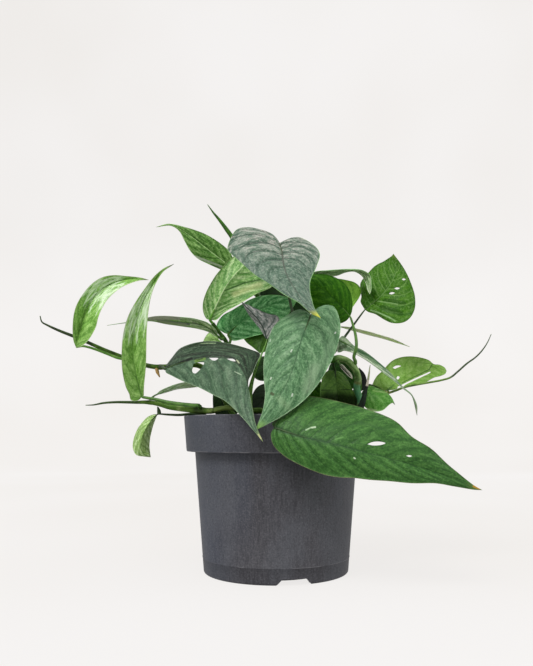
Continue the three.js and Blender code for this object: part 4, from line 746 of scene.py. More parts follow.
# What each leaf looks like: the colours of its upper face and underside, how much lighter
# they are than listed, how many side veins it has, how far they slant towards the tip (in
# spaces between veins), how far the blade swells between them in mm (left half, right half)
# and how much its edge waves in mm. The lightness is partly painted light and shade: leaves
# deep in the plant are made darker for the shade on them, and leaves that light reaches
# through or from below are made lighter.
LOOKS = {
    "leaf_top_heart": ("silver_heart", "under_silver", 0.9, 11, 2.4, (1.5, 1.3), 0.5),
    "leaf_centre": ("silver_centre", "under_silver", 1.08, 9, 2.2, (0.5, 0.6), 0.5),
    "leaf_front_right": ("green_front", "under_green", 0.98, 13, 1.6, (0.15, 0.95), 0.7),
    "leaf_left_holed": ("silver_grey", "under_silver", 0.9, 8, 1.6, (0.2, 0.8), 0.5),
    "leaf_far_left_arched": ("marbled", "under_light", 1.7, 7, 1.6, (0.5, 0.5), 0.5),
    "leaf_left_upright": ("marbled", "under_light", 1.38, 8, 1.6, (0.4, 0.4), 0.4),
    "leaf_left_curled": ("light_olive", "under_light", 1.7, 8, 1.5, (0.3, 0.3), 0.3),
    "leaf_left_narrow": ("green_plain", "under_grey", 4.2, 6, 1.5, (0.2, 0.2), 0.2),
    "leaf_left_edge_on": ("green_plain", "under_striped", 3.0, 7, 1.5, (0.3, 0.3), 0.3),
    "leaf_top_left": ("green_streaked", "under_green", 1.6, 8, 1.8, (0.5, 0.5), 0.4),
    "leaf_light_underside": ("green_leafy", "under_lime", 1.35, 8, 1.8, (0.6, 0.6), 0.5),
    "leaf_left_middle": ("green_cool", "under_green", 2.8, 8, 1.8, (0.5, 0.5), 0.4),
    "leaf_purple_folded": ("green_plain", "under_purple", 1.9, 6, 1.5, (0.5, 0.5), 0.3),
    "leaf_olive_behind": ("green_plain", "olive_shade", 1.2, 6, 1.5, (0.2, 0.2), 0.2),
    "leaf_light_small": ("under_light", "under_light", 1.9, 5, 1.2, (0.2, 0.2), 0.2),
    "leaf_right_dark": ("green_deep", "under_green", 0.95, 8, 2.0, (0.5, 0.5), 0.4),
    "leaf_right_top": ("green_right", "under_green", 0.85, 10, 2.2, (0.5, 0.6), 0.4),
    "leaf_right_draped": ("green_plain", "under_grey", 2.6, 7, 1.5, (0.2, 0.2), 0.2),
    "leaf_right_light": ("under_lime", "lime_shade", 2.1, 6, 1.5, (0.3, 0.3), 0.3),
    "leaf_right_thin": ("lime_pale", "lime_pale", 4.5, 7, 1.5, (0.1, 0.1), 0.1),
    "leaf_right_arching": ("grey_sage", "under_grey", 1.1, 8, 1.5, (0.25, 0.25), 0.3),
    "leaf_right_slit": ("green_leafy", "under_slit", 1.1, 8, 1.6, (0.4, 0.4), 0.3),
    "leaf_right_low": ("green_low", "under_green", 1.15, 6, 1.2, (0.4, 0.4), 0.3),
    "leaf_right_inner": ("olive_inner", "under_green", 2.6, 6, 1.5, (0.3, 0.3), 0.2),
    "leaf_back_top": ("silver_centre", "under_green", 1.0, 9, 2.0, (0.5, 0.5), 0.5),
    "leaf_back_upper_left": ("silver_heart", "under_green", 1.0, 9, 2.0, (0.5, 0.5), 0.5),
    "leaf_back_centre": ("green_front", "under_green", 1.0, 11, 1.8, (0.5, 0.5), 0.5),
    "leaf_back_left": ("silver_centre", "under_silver", 1.0, 8, 1.8, (0.5, 0.5), 0.5),
    "leaf_back_right": ("green_cool", "under_green", 1.0, 10, 1.8, (0.5, 0.5), 0.5),
    "leaf_back_low": ("green_deep", "green_deep", 0.8, 10, 2.0, (0.8, 0.8), 0.5),
    "leaf_back_right_low": ("green_front", "under_green", 1.0, 11, 1.8, (0.6, 0.6), 0.5),
    # The inner leaves share one dark palette, made darker or lighter by how much shade lies on each:
    # painted shade.
    "leaf_inner_left": ("green_shade", "green_shade", 1.0, 6, 1.5, (0.2, 0.2), 0.2),
    "leaf_inner_centre": ("green_shade", "green_shade", 0.4, 6, 1.5, (0.2, 0.2), 0.2),
    "leaf_inner_upper": ("green_shade", "green_shade", 0.9, 6, 1.5, (0.2, 0.2), 0.2),
    "leaf_inner_right": ("green_shade", "green_shade", 2.5, 6, 1.5, (0.2, 0.2), 0.2),
    "leaf_inner_top": ("green_shade", "green_shade", 0.9, 6, 1.5, (0.2, 0.2), 0.2),
    "old_sheath_dark": ("sheath_black", "sheath_black", 1.0, 5, 0.5, (0.1, 0.1), 0.1),
    "old_sheath_pale": ("sheath_pale", "sheath_pale", 1.0, 4, 0.5, (0.1, 0.1), 0.1),
}

# Colours as they are seen on a screen, 0 to 255. base and patch are mottled together,
# crown is a painted highlight on the swellings between the veins, vein and rib draw the
# veins, and rim and tip edge the blade. band is the width of the shade along the midrib in
# mm. The pale bloom near the stalk is a painted reflection, and the far half's colour is
# painted shade on the half turned from the light.
BLADES = {
    "silver_heart": dict(
        base=(66, 96, 76), patch=(104, 130, 110), crown=(172, 180, 166), vein=(38, 58, 46),
        rib=(78, 76, 68), rim=(140, 186, 112), tip=(205, 208, 80), crown_share=0.85,
        # The pale pink bloom near the stalk is a painted reflection.
        painted_sheen=(214, 202, 194), band=1.6, veining=0.9, grain=5.0, fading=0.35,
    ),
    "silver_centre": dict(
        base=(60, 100, 62), patch=(92, 134, 90), crown=(142, 176, 134), vein=(42, 78, 46),
        rib=(42, 78, 46), rim=(138, 170, 128), tip=(120, 160, 84), crown_share=0.55, band=1.4,
        veining=0.4, grain=7.0,
    ),
    "silver_grey": dict(
        base=(52, 82, 56), patch=(82, 114, 84), crown=(124, 148, 118), vein=(36, 54, 38),
        rib=(40, 52, 36), rim=(140, 166, 128), tip=(150, 164, 110), crown_share=0.6, band=1.2,
        far_half=(34, 42, 32), veining=0.45, grain=4.0,
    ),
    "green_front": dict(
        base=(38, 82, 26), patch=(60, 108, 44), crown=(96, 144, 70), vein=(28, 62, 22),
        rib=(34, 64, 36), rim=(104, 108, 68), tip=(96, 120, 56), crown_share=0.45, band=3.2,
        veining=0.4, grain=7.0,
    ),
    "green_right": dict(
        base=(28, 84, 0), patch=(52, 108, 0), crown=(92, 142, 34), vein=(130, 170, 90),
        rib=(116, 154, 88), rim=(90, 106, 66), tip=(110, 140, 60), crown_share=0.4, band=0.8,
        veining=0.5, gloss=0.08,
    ),
    "green_leafy": dict(
        base=(50, 92, 30), patch=(80, 124, 54), crown=(128, 164, 98), vein=(38, 76, 24),
        rib=(120, 150, 90), rim=(160, 178, 140), tip=(96, 122, 74), crown_share=0.6, band=1.0,
    ),
    "green_streaked": dict(
        base=(44, 84, 18), patch=(78, 120, 46), crown=(140, 172, 106), vein=(28, 62, 12),
        rib=(150, 178, 120), rim=(140, 166, 114), tip=(96, 122, 74), crown_share=0.6, band=0.6,
        lengthwise=True,
    ),
    "green_low": dict(
        base=(56, 116, 30), patch=(80, 138, 50), crown=(130, 174, 98), vein=(46, 98, 26),
        rib=(96, 142, 70), rim=(160, 190, 130), tip=(84, 90, 80), crown_share=0.5, band=0.6,
        veining=0.25,
    ),
    "green_deep": dict(
        base=(28, 78, 0), patch=(46, 98, 4), crown=(78, 130, 32), vein=(22, 62, 0),
        rib=(30, 72, 8), rim=(56, 98, 40), tip=(60, 100, 40), crown_share=0.5, band=1.0,
        veining=0.35, gloss=0.08,
    ),
    "green_cool": dict(
        base=(36, 86, 42), patch=(66, 116, 66), crown=(120, 160, 116), vein=(28, 68, 34),
        rib=(44, 90, 46), rim=(96, 140, 84), tip=(80, 120, 70), crown_share=0.6, band=1.0,
    ),
    "green_plain": dict(
        base=(46, 88, 32), patch=(68, 112, 50), crown=(96, 138, 74), vein=(36, 72, 28),
        rib=(70, 104, 56), rim=(100, 140, 84), tip=(90, 120, 70), crown_share=0.4, band=1.0,
    ),
    # Painted shade: the dark green of the leaves deep in the plant.
    "green_shade": dict(
        base=(20, 50, 10), patch=(30, 62, 16), crown=(44, 78, 26), vein=(15, 38, 8),
        rib=(26, 56, 16), rim=(38, 68, 24), tip=(38, 68, 24), crown_share=0.3, band=0.8,
    ),
    "olive_shade": dict(
        base=(36, 72, 8), patch=(54, 94, 18), crown=(66, 108, 26), vein=(28, 58, 6),
        rib=(44, 84, 16), rim=(80, 120, 40), tip=(70, 110, 40), crown_share=0.4, band=0.8,
    ),
    "olive_inner": dict(
        base=(38, 64, 18), patch=(54, 80, 26), crown=(66, 94, 34), vein=(28, 50, 12),
        rib=(40, 64, 20), rim=(70, 98, 44), tip=(40, 66, 20), crown_share=0.3, band=0.8,
        veining=0.15,
    ),
    "lime_shade": dict(
        base=(82, 126, 30), patch=(108, 152, 50), crown=(124, 166, 64), vein=(68, 112, 28),
        rib=(112, 154, 60), rim=(120, 160, 70), tip=(110, 150, 60), crown_share=0.4, band=0.8,
    ),
    "lime_pale": dict(
        base=(120, 150, 78), patch=(150, 172, 110), crown=(178, 192, 146), vein=(100, 130, 62),
        rib=(96, 126, 60), rim=(176, 188, 150), tip=(110, 120, 80), crown_share=0.5, band=0.4,
        lengthwise=True,
    ),
    "light_olive": dict(
        base=(88, 118, 48), patch=(122, 150, 82), crown=(172, 190, 144), vein=(62, 92, 38),
        rib=(56, 84, 36), rim=(120, 130, 84), tip=(120, 130, 100), crown_share=0.8, band=0.8,
        lengthwise=True,
    ),
    "grey_sage": dict(
        base=(70, 104, 66), patch=(116, 142, 106), crown=(172, 186, 158), vein=(46, 84, 46),
        rib=(52, 88, 50), rim=(160, 176, 146), tip=(120, 126, 110), crown_share=0.7, band=0.6,
        lengthwise=True,
    ),
    "marbled": dict(
        base=(72, 114, 34), patch=(108, 150, 68), crown=(150, 182, 108), vein=(52, 90, 28),
        rib=(78, 118, 48), rim=(150, 164, 120), tip=(84, 96, 66), crown_share=0.5, band=0.6,
        marbling=(174, 190, 162), veining=0.4,
    ),
    "under_silver": dict(
        base=(90, 114, 84), patch=(114, 136, 104), crown=(142, 160, 130), vein=(74, 98, 70),
        rib=(110, 134, 96), rim=(120, 142, 108), tip=(120, 142, 108), crown_share=0.4, band=0.8,
    ),
    "under_grey": dict(
        base=(78, 104, 62), patch=(116, 136, 98), crown=(160, 172, 142), vein=(48, 80, 36),
        rib=(44, 78, 34), rim=(150, 164, 136), tip=(120, 132, 104), crown_share=0.6, band=0.7,
        lengthwise=True,
    ),
    "under_striped": dict(
        base=(52, 88, 28), patch=(92, 122, 62), crown=(150, 156, 130), vein=(28, 56, 14),
        rib=(28, 58, 16), rim=(176, 172, 162), tip=(130, 136, 116), crown_share=0.75, band=1.3,
        lengthwise=True,
    ),
    "under_green": dict(
        base=(68, 110, 46), patch=(90, 132, 66), crown=(116, 156, 90), vein=(56, 94, 40),
        rib=(116, 152, 88), rim=(112, 146, 88), tip=(112, 146, 88), crown_share=0.4, band=0.8,
    ),
    "under_light": dict(
        base=(104, 140, 70), patch=(132, 162, 98), crown=(160, 184, 128), vein=(86, 120, 58),
        rib=(140, 168, 110), rim=(156, 180, 126), tip=(150, 170, 120), crown_share=0.45, band=0.8,
    ),
    "under_lime": dict(
        base=(74, 126, 52), patch=(122, 164, 90), crown=(188, 208, 156), vein=(44, 90, 34),
        rib=(180, 200, 150), rim=(150, 178, 110), tip=(140, 172, 96), crown_share=0.7, band=0.8,
        grain=6.0,
    ),
    "under_slit": dict(
        base=(94, 138, 42), patch=(118, 156, 68), crown=(140, 172, 98), vein=(78, 122, 34),
        rib=(96, 140, 46), rim=(128, 160, 84), tip=(120, 158, 76), crown_share=0.5, band=0.4,
    ),
    "under_purple": dict(
        base=(70, 80, 76), patch=(106, 111, 106), crown=(164, 160, 156), vein=(34, 48, 40),
        rib=(34, 46, 38), rim=(60, 76, 60), tip=(46, 58, 44), crown_share=0.8, band=0.8,
        lengthwise=True,
    ),
    "sheath_black": dict(
        base=(8, 12, 8), patch=(18, 24, 18), crown=(36, 46, 38), vein=(6, 8, 5),
        rib=(12, 16, 12), rim=(30, 34, 26), tip=(24, 28, 20), crown_share=0.3, band=0.4,
        lengthwise=True,
    ),
    "sheath_pale": dict(
        base=(132, 134, 110), patch=(176, 176, 156), crown=(206, 204, 190), vein=(72, 70, 50),
        rib=(40, 44, 30), rim=(190, 188, 170), tip=(150, 130, 100), crown_share=0.5, band=0.5,
        lengthwise=True,
    ),
}

# Marks on single leaves, from one place (x, z) to another as they are seen: half width in
# mm, colour and strength. Some are painted shade and some painted light, as said where they stand.
MARKS = {
    "leaf_centre": [
        ((-3.6, 145.6), (-2.6, 145), 1.3, (58, 66, 34), 0.9),
        ((12.3, 180), (13, 181.5), 0.6, (196, 208, 190), 0.8),
        ((-4.5, 157.5), (-4, 158.6), 0.7, (190, 204, 182), 0.8),
        ((48.4, 195.2), (49, 196), 0.6, (208, 216, 204), 0.9),
        ((13, 143.6), (13.6, 145.2), 0.7, (196, 208, 190), 0.8),
        ((-5, 188.5), (-4.6, 190), 0.6, (176, 196, 170), 0.7),
        ((26, 150), (32, 166), 6.0, (156, 180, 146), 0.45),
        ((36, 168), (46, 186), 5.0, (130, 162, 124), 0.4),
        ((38, 196), (42, 176), 1.4, (58, 92, 62), 0.4),
        ((42, 176), (34, 158), 1.5, (58, 92, 62), 0.4),
        ((14, 209), (22, 197), 5.0, (46, 80, 54), 0.35),
        ((45, 206), (51, 188), 5.0, (58, 94, 58), 0.3),
        ((-2, 192), (4, 176), 3.0, (52, 88, 56), 0.3),
        ((2, 142), (11, 133), 3.5, (140, 168, 124), 0.3),
    ],
    "leaf_front_right": [
        ((24.6, 115.6), (28.6, 117.6), 0.5, (170, 196, 156), 0.8),
        ((29.6, 117.6), (32.2, 118), 0.7, (190, 208, 176), 0.85),
        ((48.5, 108), (55, 109.8), 0.5, (98, 144, 76), 0.7),
        ((64.2, 92.8), (65, 92.2), 0.6, (196, 210, 184), 0.85),
        ((162.5, 69.4), (167, 67.6), 0.9, (196, 140, 36), 0.75),
        ((44, 117), (70, 121.5), 1.6, (46, 84, 40), 0.45),
        ((70, 121.5), (96, 114), 1.8, (46, 84, 40), 0.45),
        ((58, 106), (75, 103.6), 0.7, (40, 76, 36), 0.5),
    ],
    "leaf_left_holed": [
        # A painted shadow in the fold along the midrib near the base, as a dark wedge and line.
        ((-92, 168), (-82, 169.6), 0.5, (10, 16, 10), 0.9),
        ((-82, 169.6), (-69.5, 174.6), 1.3, (10, 16, 10), 0.95),
        ((-66, 172.4), (-59, 174), 1.5, (100, 132, 60), 0.85),
        ((-65, 173), (-60.5, 174.4), 0.4, (20, 34, 12), 0.9),
        # Painted shadow along the fold of the midrib.
        ((-67, 174.8), (-52, 177.2), 0.5, (24, 32, 22), 0.75),
        ((-32.4, 173.2), (-30.4, 170.8), 0.6, (176, 186, 150), 0.8),
        ((-34, 163.6), (-28.5, 161), 0.35, (160, 178, 150), 0.8),
        ((-62, 186.8), (-50, 187), 0.5, (150, 170, 130), 0.7),
        # Painted shade along the upper edge of the half that stands up behind the fold.
        ((-80, 181.6), (-60, 187.6), 0.7, (20, 34, 16), 0.7),
        ((-48, 187.2), (-22, 182), 0.9, (20, 38, 16), 0.7),
        ((-48, 171), (-43, 164.5), 1.2, (44, 58, 42), 0.55),
        ((-14.6, 112), (-12.4, 108.6), 0.5, (206, 200, 150), 0.7),
    ],
    "leaf_right_inner": [
        # Painted shade: a broad near-black patch and a dark line over the leaf deep in the plant.
        ((42, 139), (64, 137), 9.0, (14, 30, 6), 0.85),
        ((37.5, 148.4), (61, 149), 0.5, (18, 34, 8), 0.7),
    ],
    "leaf_light_underside": [
        ((-42, 230.4), (-26, 236.6), 0.7, (40, 80, 28), 0.8),
        ((-26, 236.6), (-11, 239.4), 0.7, (40, 80, 28), 0.7),
        # A painted glow: a broad pale yellow patch where light shines through the leaf.
        ((-34, 227.5), (-13.5, 235), 4.0, (206, 208, 146), 0.5),
        ((-44, 222), (-38, 240), 3.0, (74, 122, 48), 0.35),
    ],
    "leaf_right_slit": [
        ((104, 154.6), (126, 165.4), 0.5, (52, 92, 22), 0.85),
        ((126, 165.4), (128.4, 169.6), 0.55, (52, 92, 22), 0.85),
        ((128.2, 170), (112, 171.6), 0.4, (84, 128, 40), 0.7),
        ((100, 163), (104, 166), 1.6, (88, 140, 36), 0.5),
    ],
    "leaf_right_arching": [
        ((67, 181.6), (80, 174.6), 1.6, (34, 82, 38), 0.9),
        ((80, 174.6), (90, 166), 1.3, (34, 82, 38), 0.85),
        ((62, 180.6), (76, 173), 0.6, (196, 208, 182), 0.85),
        ((76, 173), (98, 156.6), 0.5, (196, 208, 182), 0.8),
        ((52.5, 183), (57, 184.6), 1.8, (52, 72, 36), 0.75),
        ((54, 191), (60, 187.5), 1.6, (170, 190, 150), 0.7),
        ((104, 150.8), (116, 129), 0.9, (150, 160, 140), 0.8),
    ],
    "leaf_left_edge_on": [
        ((-104, 207.6), (-80, 208.2), 1.6, (176, 172, 156), 0.75),
        ((-97, 205.6), (-72, 203.2), 1.2, (22, 52, 10), 0.85),
        ((-97, 204.8), (-74, 201.8), 1.2, (140, 160, 104), 0.7),
        ((-68, 203.4), (-50, 196), 1.6, (30, 62, 22), 0.6),
    ],
    "leaf_right_low": [
        ((75, 133), (82, 131.6), 1.1, (160, 190, 130), 0.7),
        ((80, 148), (91, 146), 0.8, (150, 186, 110), 0.6),
    ],
    "leaf_right_top": [
        # Painted shade in the hollows on the half of the blade that the light leaves darker.
        ((72.5, 218.5), (79.5, 228.5), 3.6, (24, 66, 0), 0.6),
        ((87, 216.5), (102.5, 211.5), 2.4, (28, 70, 0), 0.65),
        ((89.6, 222.6), (105.5, 220), 1.8, (28, 70, 0), 0.65),
        ((78, 214.2), (93.6, 208), 0.7, (150, 188, 128), 0.7),
        ((93.6, 208), (98, 205.2), 0.7, (150, 188, 128), 0.6),
        ((84, 221.5), (100, 219), 0.5, (140, 176, 112), 0.6),
    ],
    "old_sheath_pale": [
        # A painted dark line for the shaded gap between two pale strips.
        ((52.6, 168.4), (61, 159.8), 0.6, (24, 30, 16), 0.95),
    ],
    "leaf_top_left": [
        ((-67.5, 258.5), (-45.1, 250), 1.0, (196, 208, 182), 0.75),
    ],
}

# Bark: base, light and dark colour, and stretches of another colour between seen places
BARK = {
    "stem_left_upper": ((56, 90, 26), (94, 128, 48), (30, 48, 16), [
        ((-150, 185.5), (-193, 204.6), (38, 50, 26)),
    ]),
    "stem_left_lower": ((62, 96, 26), (98, 132, 50), (36, 60, 16), [
        ((-95, 137.4), (-80, 134), (74, 112, 34)),
        ((-80, 134), (-77, 133.7), (142, 164, 96)),
        ((-77, 133.7), (-66, 132.6), (92, 128, 44)),
        ((-66, 132.6), (-57, 131.6), (52, 70, 24)),
        ((-55, 131.6), (-34, 133.3), (124, 148, 74)),
        ((-112, 138.7), (-157, 136), (46, 66, 30)),
    ]),
    "stem_right_lower": ((74, 106, 40), (116, 146, 72), (48, 74, 28), [
        ((60, 141), (85, 149.8), (46, 78, 22)),
        ((90, 146.8), (94, 146.8), (176, 184, 100)),
        ((143.5, 159), (177, 194.5), (66, 76, 60)),
    ]),
    "stem_centre": ((40, 82, 18), (68, 112, 34), (24, 50, 12), []),
    "stem_left_back": ((36, 70, 16), (66, 104, 34), (22, 42, 10), []),
    "stem_right_arch": ((78, 116, 50), (140, 168, 106), (44, 76, 28), [
        ((67.9, 139), (66.2, 154), (80, 142, 98)),
        ((66.9, 154.5), (67.2, 155.6), (96, 76, 40)),
        ((50, 174.4), (40, 172), (50, 104, 24)),
    ]),
    "stem_new_shoot": ((12, 22, 14), (30, 48, 32), (6, 10, 6), [
        ((75, 151.5), (76, 157), (206, 196, 178)),
        ((76, 157), (77.4, 169), (152, 160, 122)),
    ]),
}

# Stalks: the base and light colours of each kind, and the leaves that have them. The first
# kind is for every leaf that no later one names.
STALKS = {
    "green": ((58, 98, 32), (92, 134, 56), ()),
    "bright": ((84, 140, 44), (122, 168, 74), (
        "leaf_purple_folded", "leaf_light_underside", "leaf_light_small", "leaf_back_low",
        "leaf_far_left_arched",
    )),
    "dark": ((36, 58, 24), (58, 84, 40), (
        "leaf_right_top", "leaf_left_curled", "leaf_left_holed", "leaf_right_inner",
        "leaf_centre", "leaf_front_right",
    )),
    "grey": ((48, 66, 38), (76, 94, 60), ("leaf_top_heart",)),
}


# Shapes


def catmull_rom(points, per_span=24):
    """Points along a centripetal Catmull-Rom curve, with their distances from its start."""
    p = np.asarray(points, float)
    p = np.vstack([2 * p[0] - p[1], p, 2 * p[-1] - p[-2]])
    u = np.linspace(0, 1, per_span, endpoint=False)[:, None]
    pieces = []
    for i in range(1, len(p) - 2):
        p0, p1, p2, p3 = p[i - 1 : i + 3]
        d0, d1, d2 = (max(np.linalg.norm(b - a) ** 0.5, 1e-6) for a, b in ((p0, p1), (p1, p2), (p2, p3)))
        m1 = d1 * ((p1 - p0) / d0 - (p2 - p0) / (d0 + d1) + (p2 - p1) / d1)
        m2 = d1 * ((p2 - p1) / d1 - (p3 - p1) / (d1 + d2) + (p3 - p2) / d2)
        c2 = -3 * p1 + 3 * p2 - 2 * m1 - m2
        c3 = 2 * p1 - 2 * p2 + m1 + m2
        pieces.append(p1 + u * (m1 + u * (c2 + u * c3)))
    line = np.vstack(pieces + [p[-2:-1]])
    steps = np.linalg.norm(np.diff(line, axis=0), axis=1)
    return line, np.concatenate([[0], np.cumsum(steps)])


def seen_curve(places):
    """The curve through places that are given as they are seen."""
    return catmull_rom([seen(place) for place in places])


def at_share(curve, share):
    """The points at these shares of the curve's length."""
    line, distance = curve
    place = np.asarray(share) * distance[-1]
    return np.stack([np.interp(place, distance, line[:, k]) for k in range(3)], -1)


def directions(curve, share, step=0.004):
    """The unit vectors along the curve at these shares of its length."""
    share = np.asarray(share)
    ahead = at_share(curve, np.minimum(share + step, 1)) - at_share(curve, np.maximum(share - step, 0))
    return ahead / np.linalg.norm(ahead, axis=-1, keepdims=True)


def unit(v):
    return v / np.maximum(np.linalg.norm(v, axis=-1, keepdims=True), 1e-9)


def spread_along(values, share):
    return np.interp(share, np.linspace(0, 1, len(values)), values)


def new_piece(name, points, faces):
    """A mesh object in the scene, from points in metres."""
    mesh = bpy.data.meshes.new(name)
    mesh.from_pydata(np.asarray(points).tolist(), [], faces)
    piece = bpy.data.objects.new(name, mesh)
    bpy.context.scene.collection.objects.link(piece)
    return piece


class Form:
    """Vertices in millimetres, faces with their materials, and two numbers for each corner."""

    def __init__(self):
        self.points = []
        self.faces = []
        self.slots = []
        self.maps = {"Veins": [], "Measure": [], "Along": []}
        self.count = 0

    def add(self, points, faces, slot, **maps):
        self.points.append(np.asarray(points, float))
        self.faces += [tuple(index + self.count for index in face) for face in faces]
        self.slots += [slot] * len(faces)
        for name, rows in self.maps.items():
            given = maps.get(name)
            rows.append(np.zeros((len(points), 2)) if given is None else np.asarray(given, float))
        self.count += len(points)

    def build(self, name, materials):
        piece = new_piece(name, np.vstack(self.points) * MM, self.faces)
        mesh = piece.data
        mesh.polygons.foreach_set("material_index", self.slots)
        mesh.polygons.foreach_set("use_smooth", [True] * len(self.faces))
        corners = np.empty(len(mesh.loops), int)
        mesh.loops.foreach_get("vertex_index", corners)
        for key, rows in self.maps.items():
            layer = mesh.uv_layers.new(name=key)
            layer.data.foreach_set("uv", np.vstack(rows)[corners].ravel())
        for material in materials:
            mesh.materials.append(material)
        return piece


def add_tube(form, curve, radii, sides, steps, slot):
    """A closed round tube along a curve. Its first map runs in millimetres along it."""
    share = np.linspace(0, 1, steps + 1)
    centres = at_share(curve, share)
    ahead = directions(curve, share)
    side = unit(np.cross(ahead[0], [0.31, 0.22, 0.93]))
    rings = []
    length = curve[1][-1]
    radius = radii(share) if callable(radii) else spread_along(radii, share)
    for i in range(steps + 1):
        side = unit(side - ahead[i] * (side @ ahead[i]))
        other = np.cross(ahead[i], side)
        angle = np.linspace(0, 2 * np.pi, sides, endpoint=False)[:, None]
        rings.append(centres[i] + radius[i] * (np.cos(angle) * side + np.sin(angle) * other))
    points = np.vstack(rings + [centres[:1], centres[-1:] + ahead[-1:] * radius[-1]])
    faces = []
    for i in range(steps):
        for j in range(sides):
            k = (j + 1) % sides
            faces.append((i * sides + j, i * sides + k, (i + 1) * sides + k, (i + 1) * sides + j))
    first = (steps + 1) * sides
    for j in range(sides):
        k = (j + 1) % sides
        faces.append((first, k, j))
        faces.append((first + 1, steps * sides + j, steps * sides + k))
    around = np.tile(np.arange(sides) / sides, steps + 1)
    along = np.repeat(share, sides)
    flow = np.stack([along * length, around], 1)
    flow = np.vstack([flow, [[0, 0], [length, 0]]])
    form.add(points, faces, slot, Veins=flow, Along=np.stack([flow[:, 0] / length, flow[:, 1]], 1))


def blade_surface(leaf, shares, reaches, look):
    """The middle surface of a blade: a grid of points and normals, and its three maps."""
    midrib = leaf["midrib"]
    middle = seen_curve(midrib)
    margins = [seen_curve([midrib[0], *leaf[side], midrib[-1]]) for side in ("left", "right")]
    veins, slant, swelling, waving = look
    root_share = shares ** leaf["spread"]
    root = at_share(middle, root_share)
    axis = directions(middle, root_share)
    edge = [at_share(margin, shares) for margin in margins]
    face = unit(np.cross(edge[1] - edge[0], axis))
    grid, vein_map, measure, along = [], [], [], []
    for reach in reaches:
        half = int(reach > 0)
        side = edge[half]
        r = abs(reach)
        width = np.linalg.norm(side - root, axis=1)
        belly = BELLY * width * 4 * r * (1 - r)
        count = veins * shares**0.9 - slant * (0.45 * r + 0.55 * r * r) + HALF_OFFSET * (1 - half)
        bend = WOBBLE * np.sin(2.3 * count + 5 * r + half) * np.sin(1.7 * count + 2)
        pillow = np.abs(np.sin(np.pi * (count + bend))) ** 0.8 - 0.55
        held = np.sin(np.pi * r**0.75) * np.minimum(1, width / FULL_SWELLING_WIDTH)
        held = held * (1.25 - 0.9 * shares)
        wave = np.sin(2 * np.pi * (veins * WAVES_PER_VEIN * shares + HALF_OFFSET * (1 - half)))
        edging = waving * wave * r**3 * np.minimum(1, width / FULL_WAVE_WIDTH)
        lift = belly + swelling[half] * pillow * held + edging
        grid.append(root + (side - root) * r + face * lift[:, None])
        vein_map.append(np.stack([count + bend, np.full_like(shares, reach)], 1))
        measure.append(np.stack([width * r, width * (1 - r)], 1))
        along.append(np.stack([shares, np.full_like(shares, 0.5 + 0.5 * reach)], 1))
    grid = np.stack(grid, 1)
    normal = unit(np.cross(np.gradient(grid, axis=1), np.gradient(grid, axis=0)))
    maps = [np.stack(m, 1) for m in (vein_map, measure, along)]
    return grid, normal, maps, (at_share(middle, 0.0), at_share(middle, 1.0))


def add_blade(form, leaf, look, rows, columns):
    """A thin closed blade: upper face in slot 0, underside in slot 1."""
    shares = (np.arange(1, rows) / rows) ** ROW_CROWDING
    half = (np.arange(1, columns + 1) / columns) ** COLUMN_CROWDING
    reaches = np.concatenate([-half[::-1], [0], half])
    grid, normal, maps, (base, tip) = blade_surface(leaf, shares, reaches, look)
    down = shares[:, None]
    rib = np.exp(-((maps[1][..., 0] / RIB_REACH) ** 2)) * (1 - down) * np.minimum(1, down * 12)
    thick = BLADE_THICKNESS * (1 - EDGE_THINNING * np.abs(reaches)[None, :] ** 4) / 2
    upper = grid + normal * (thick - RIB_GROOVE * rib)[..., None]
    lower = grid - normal * (thick + RIB_KEEL * rib)[..., None]
    wide = len(reaches)
    tall = len(shares)
    at_base = unit(normal[0].mean(0)) * END_THICKNESS / 2
    at_tip = unit(normal[-1].mean(0)) * END_THICKNESS / 2
    points = [upper.reshape(-1, 3), [base + at_base], [tip + at_tip]]
    points += [lower.reshape(-1, 3), [base - at_base], [tip - at_tip]]
    count = wide * tall
    far = count + 2

    def at(i, j):
        return i * wide + j

    sheet = [(count, at(0, j + 1), at(0, j)) for j in range(wide - 1)]
    for i in range(tall - 1):
        for j in range(wide - 1):
            sheet.append((at(i, j), at(i, j + 1), at(i + 1, j + 1), at(i + 1, j)))
    sheet += [(at(tall - 1, j), at(tall - 1, j + 1), count + 1) for j in range(wide - 1)]
    under = [tuple(reversed([index + far for index in face])) for face in sheet]
    left = [count] + [at(i, 0) for i in range(tall)] + [count + 1]
    right = [count] + [at(i, wide - 1) for i in range(tall)] + [count + 1]
    strip = [(b, a, a + far, b + far) for a, b in zip(left, left[1:])]
    strip += [(a, b, b + far, a + far) for a, b in zip(right, right[1:])]
    flat = [m.reshape(-1, 2) for m in maps]
    ends = [
        np.array([[0.0, 0.0], [look[0], 0.0]]),
        np.array([[0.0, 0.0], [0.0, 0.0]]),
        np.array([[0.0, 0.5], [1.0, 0.5]]),
    ]
    full = [np.vstack([m, e, m, e]) for m, e in zip(flat, ends)]
    named = dict(Veins=full[0], Measure=full[1], Along=full[2])
    form.add(np.vstack(points), sheet + strip, 0, **named)
    first = form.count - len(full[0])
    form.faces += [tuple(index + first for index in face) for face in under]
    form.slots += [1] * len(under)


def footing(root):
    """The straight foot of a stem that stands in the soil."""
    return [np.array([root[0], root[1], SOIL_TOP + rise], float) for rise in (-ROOT_DEPTH, -1, 6)]


def share_near(curve, near):
    """The share of a curve's length at which it passes nearest to a seen place."""
    samples = np.linspace(0, 1, 401)
    gap = np.hypot(*(as_seen(at_share(curve, samples)) - np.array(near)).T)
    return samples[gap.argmin()]


def bud_points(stem, near, toward):
    """Where a stalk leaves its stem: square to its surface, or straight on from its end."""
    share = share_near(stem["curve"], near)
    centre = at_share(stem["curve"], share)
    ahead = directions(stem["curve"], share)
    stem["buds"].append(share)
    if share > STEM_END:
        return [at_share(stem["curve"], 1.0) + ahead * CLEARANCE * step for step in (-4, 3)]
    outward = toward - centre
    outward = unit(outward - ahead * (outward @ ahead))
    surface = spread_along(stem["radii"], share)
    return [centre + outward * reach for reach in (surface - 0.4, surface + 1.5)]


